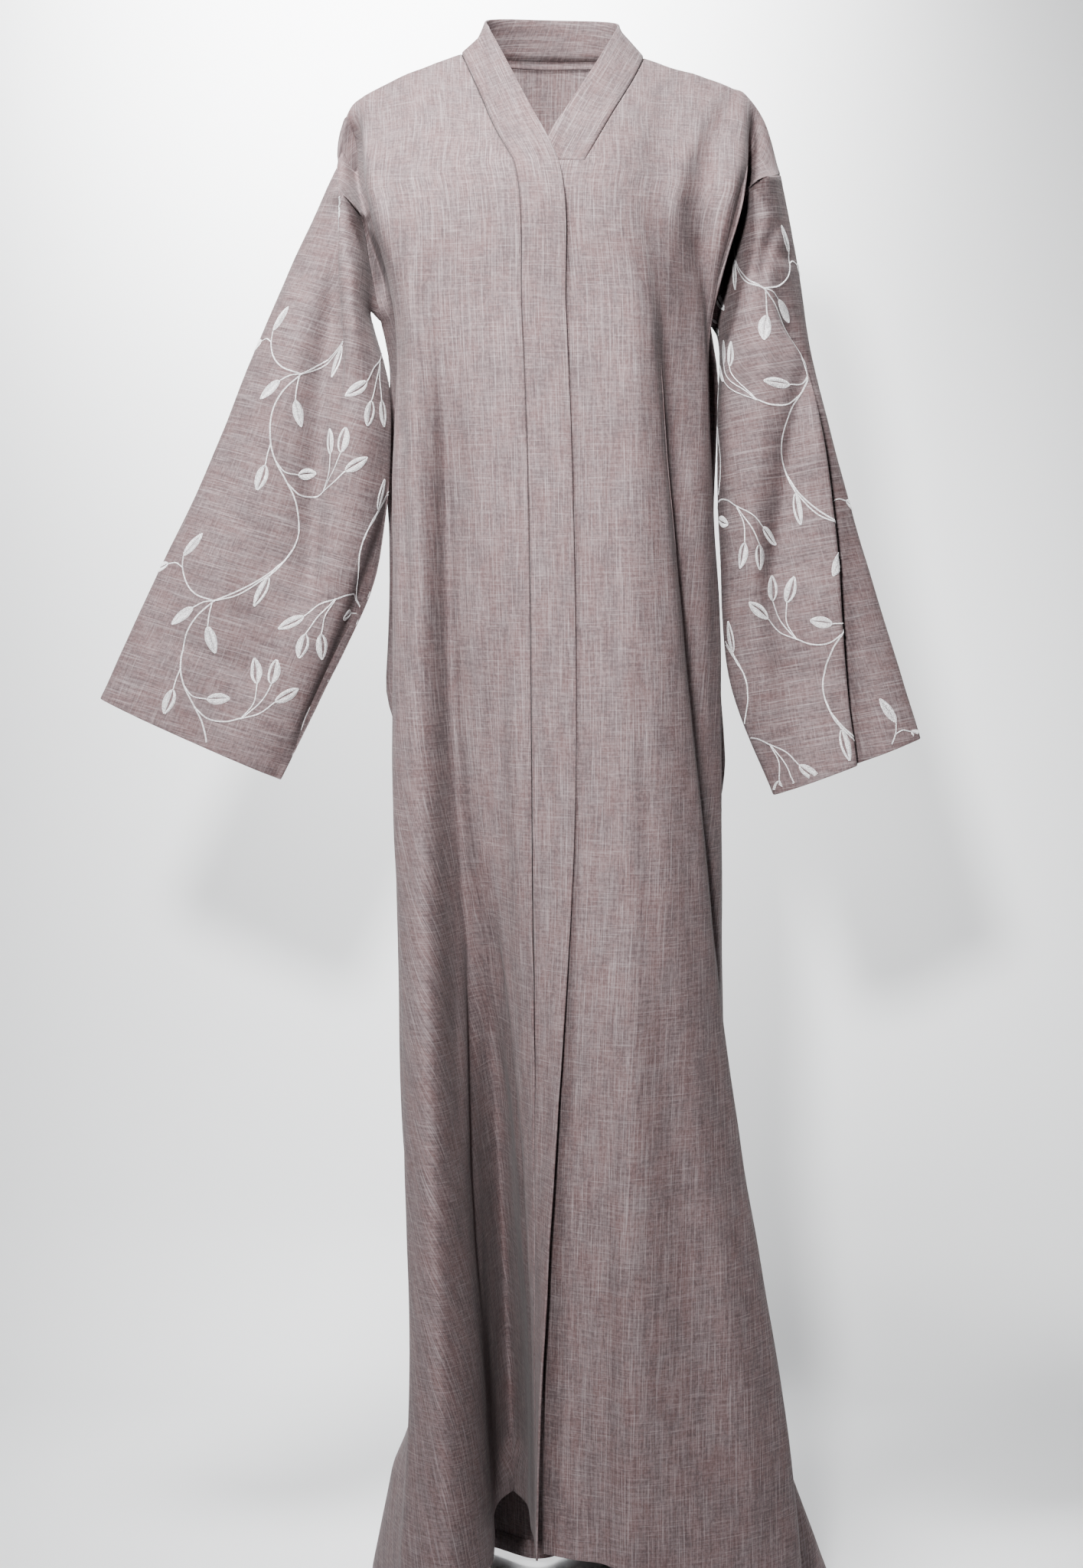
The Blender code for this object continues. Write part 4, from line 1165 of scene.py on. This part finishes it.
# %% Make the stitches on the flat cloth
# Lengths are in millimetres, as in the chart.
STEM_PITCH = 1.15  # from one stitch of a stem to the next
STEM_REACH = 0.36  # of the stem's width, from its middle to a stitch's end
STEM_SLANT = 0.75  # that a stitch's end lies ahead of its middle
FINE_POINTS = 40  # for each charted point of a stem, to measure its length by
LEAF_PITCH = 0.72  # from one stitch of a leaf to the next
LEAF_FIRST, LEAF_LAST = 0.02, 0.985  # share of a leaf's length where its first and last stitches are
LEAF_WIDEST = 0.78  # below 1, a leaf is widest before its middle
LEAF_ROUND = 0.75  # below 1, its ends are blunter
LEAF_LEAN = 0.05  # share of its length by which its stitches slant
VEIN = 0.2  # half the gap that the vein leaves
VEIN_LEAST = 0.1  # and what is left of it at the ends of a leaf
BORDER = 1.5  # width of the satin edge of an open half
BORDER_LEAST = 0.9  # and near the ends of a leaf
SLIT_WIDTH = 1.35  # times the share that a leaf's table gives
MIDDLE_LIFT = 0.00030  # of a stitch's middle, in metres


def even_line(points, pitch):
    """A smooth line through chart points, with a point every pitch, and the direction at each."""
    fine = curve(range(len(points)), points, np.linspace(0, len(points) - 1, FINE_POINTS * len(points)))
    run = np.concatenate([[0], np.cumsum(np.linalg.norm(np.diff(fine, axis=0), axis=1))])
    at = np.arange(0, run[-1], pitch)
    line = np.stack([np.interp(at, run, fine[:, k]) for k in range(2)], axis=1)
    return line, unit(np.gradient(line, axis=0))


def stem_stitches(stem):
    """Slanting stitches (n, 3, 2) along a stem, each from one edge over the middle to the other."""
    line, ahead = even_line(stem.points, STEM_PITCH)
    side = np.stack([-ahead[:, 1], ahead[:, 0]], axis=1)
    reach = side * stem.width * STEM_REACH + ahead * STEM_SLANT
    return np.stack([line - reach, line, line + reach], axis=1)


def leaf_stitches(leaf):
    """Two rows of satin stitches (n, 3, 2), one for each half of a leaf."""
    base, tip = np.array(leaf.base, float), np.array(leaf.tip, float)
    long = np.linalg.norm(tip - base)
    ahead = (tip - base) / long
    side = np.array([-ahead[1], ahead[0]])
    share = np.arange(LEAF_FIRST, LEAF_LAST, LEAF_PITCH / long)
    bulge = leaf.width / 2 * np.sin(math.pi * share**LEAF_WIDEST) ** LEAF_ROUND
    lean = LEAF_LEAN * np.sin(math.pi * share)
    halves = []
    for hand, slit in ((1, 0.0), (-1, leaf.slit)):
        edge = base + (share + lean)[:, None] * long * ahead + (hand * bulge)[:, None] * side
        inner = VEIN + slit * np.maximum(bulge - BORDER, 0) * SLIT_WIDTH
        inner = np.minimum(inner, np.maximum(bulge - BORDER_LEAST, VEIN_LEAST))
        vein = base + share[:, None] * long * ahead + (hand * inner)[:, None] * side
        halves.append(np.stack([edge, (edge + vein) / 2, vein], axis=1))
    return halves


def zigzag(stitches):
    """One thread that runs through a row of stitches, there and back."""
    turned = stitches.copy()
    turned[1::2] = turned[1::2, ::-1]
    return turned


print("stitches in a repeat", sum(len(stem_stitches(stem)) for stem in STEMS)
      + sum(len(half) for leaf in LEAVES for half in leaf_stitches(leaf)))

# %% [markdown]
# ## Sewing the vine on
# A thread is a thin tube. Every stem stitch is a tube of its own with three points, and each half leaf is
# one tube that zigzags. Stitches that fall beyond a seam or past the cuff are left out.

# %% Thread material
def silver():
    shader = Shader("silver thread")
    place = shader.node("ShaderNodeTexCoord", output="Object")
    glint = shader.node("ShaderNodeTexNoise", {}, {"Vector": place, "Scale": 900.0, "Detail": 1.0})
    colour = shader.mix(glint.between(0.35, 0.65), (0.42, 0.41, 0.42), (0.86, 0.85, 0.86))
    shader.feed(shader.surface.inputs["Base Color"], colour)
    shader.surface.inputs["Roughness"].default_value = 0.30
    shader.surface.inputs["Specular IOR Level"].default_value = 0.8
    return shader.material


SILVER = silver()
print("thread nodes", len(SILVER.node_tree.nodes))

# %% Lay the threads
THREAD = 0.00030  # radius
REPEATS = range(-2, 4)  # more than cover a sleeve
# Further up the sleeve than first, a column is stitched only on one side of its middle.
Column = namedtuple("Column", "across along turned first")
VINE_COLUMNS = {
    "sleeve_right_cloth": (Column(0.073, 0.154, False, 0.112), Column(0.253, 0.222, True, 0),
                           Column(-0.107, 0.222, True, 0), Column(-0.287, 0.154, False, 0)),
    "sleeve_left_cloth": (Column(0.074, 0.067, False, 0), Column(0.254, 0.135, True, 0),
                          Column(-0.106, 0.135, True, 0), Column(-0.286, 0.067, False, 0)),
}


def on_sleeve(column, repeat, chart):
    """Places on the flat sleeve, in metres, of chart points in millimetres."""
    turn = -1 if column.turned else 1
    across = column.across + turn * chart[..., 0] / MM
    along = column.along + (turn * chart[..., 1] + repeat * REPEAT) / MM
    return across, along


def runs(keep):
    """The unbroken stretches of what is kept, as arrays of numbers."""
    kept = np.flatnonzero(keep)
    return np.split(kept, np.flatnonzero(np.diff(kept) > 1) + 1) if len(kept) else []


def threads(name, ruler, columns, rows, joined):
    """One object from threads along rows of stitches (n, 3, 2), wherever a column repeats them."""
    data = bpy.data.curves.new(name, "CURVE")
    data.dimensions = "3D"
    data.bevel_depth = THREAD
    data.bevel_resolution = 0
    lift = CLOTH / 2 + THREAD / 2 + MIDDLE_LIFT * np.array([[0.0], [1.0], [0.0]])
    for column in columns:
        for repeat in REPEATS:
            for row in rows:
                across, along = on_sleeve(column, repeat, row)
                spots, out, inside = ruler.find(across.ravel(), along.ravel())
                spots = spots.reshape(-1, 3, 3) + out.reshape(-1, 3, 3) * lift
                stitched = (along > column.first) | (across < column.across)
                keep = (inside & stitched.ravel()).reshape(-1, 3).all(1)
                for line in runs(keep) if joined else np.flatnonzero(keep)[:, None]:
                    points = spots[line].reshape(-1, 3)
                    spline = data.splines.new("POLY")
                    spline.points.add(len(points) - 1)
                    weighted = np.pad(points, ((0, 0), (0, 1)), constant_values=1)
                    spline.points.foreach_set("co", weighted.ravel())
    tubes = bpy.data.objects.new(name, data)
    bpy.context.collection.objects.link(tubes)
    mesh = bpy.data.meshes.new_from_object(tubes.evaluated_get(bpy.context.evaluated_depsgraph_get()))
    bpy.data.objects.remove(tubes)
    mesh.materials.append(SILVER)
    mesh.shade_smooth()
    made = bpy.data.objects.new(name, mesh)
    bpy.context.collection.objects.link(made)
    return made


stem_rows = [stem_stitches(stem) for stem in STEMS]
leaf_rows = [zigzag(half) for leaf in LEAVES for half in leaf_stitches(leaf)]
vine = {}
for name, columns in VINE_COLUMNS.items():
    vine[name] = [
        threads(name.replace("cloth", "stems"), rulers[name], columns, stem_rows, joined=False),
        threads(name.replace("cloth", "leaves"), rulers[name], columns, leaf_rows, joined=True),
    ]
    for thread in vine[name]:
        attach(thread, "root")
        print(thread.name, len(thread.data.polygons), "faces")

# %% [markdown]
# ## Sewing up
# Where two pieces are sewn together, the edge of each sinks along the seam, which leaves a narrow groove. A
# hem or a cuff is the cloth's own edge, folded to the inside and back up by a few rows of the mesh. The band
# is folded double over its whole width. The vine is on the sleeves by now, as on the real cloak.

# %% Sew up the pieces
HEM_ROWS = 3
for piece, edges in (
    (cut_right, ("first column", "last column", "first row")),
    (cut_left, ("last column", "first row")),
    (cut_back, ("first column", "last column", "first row")),
    (cut_sleeve_right, ("first row",)),
    (cut_sleeve_left, ("first row",)),
):
    for edge in edges:
        piece.roll_seam(edge)
    piece.turn_in("last row", HEM_ROWS)
cut_band.roll_seam("first column", width=0.0026, dip=0.0022)
cut_band.turn_in("last column", BAND_COLUMNS, gap=0.0013)

SEWN = (
    (cut_right, "front_right"),
    (cut_left, "front_left"),
    (cut_back, "back"),
    (cut_sleeve_right, "sleeve_right"),
    (cut_sleeve_left, "sleeve_left"),
    (cut_band, "neck_and_front_band"),
)
made = {}
for piece, node in SEWN:
    absent = (CHEST_ROW + 1, FRONT_COLUMNS) if piece is cut_left else (0, 0)
    made[node] = piece.mesh(absent)
    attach(made[node], "root")
    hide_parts(node)
    print(piece.name, len(made[node].data.polygons), "faces")

# %% [markdown]
# ## Sheets of cloth
# Each piece is a sheet. Its area on the flat cloth is worked out from its grid, because none is a rectangle.

def flat_area(piece):
    """The area of a piece on the flat cloth, from the crossed diagonals of its grid's cells."""
    corners = piece.flat
    one = corners[1:, 1:] - corners[:-1, :-1]
    other = corners[1:, :-1] - corners[:-1, 1:]
    return np.abs(one[..., 0] * other[..., 1] - one[..., 1] * other[..., 0]).sum() / 2


for piece, node in SEWN:
    area = flat_area(piece)
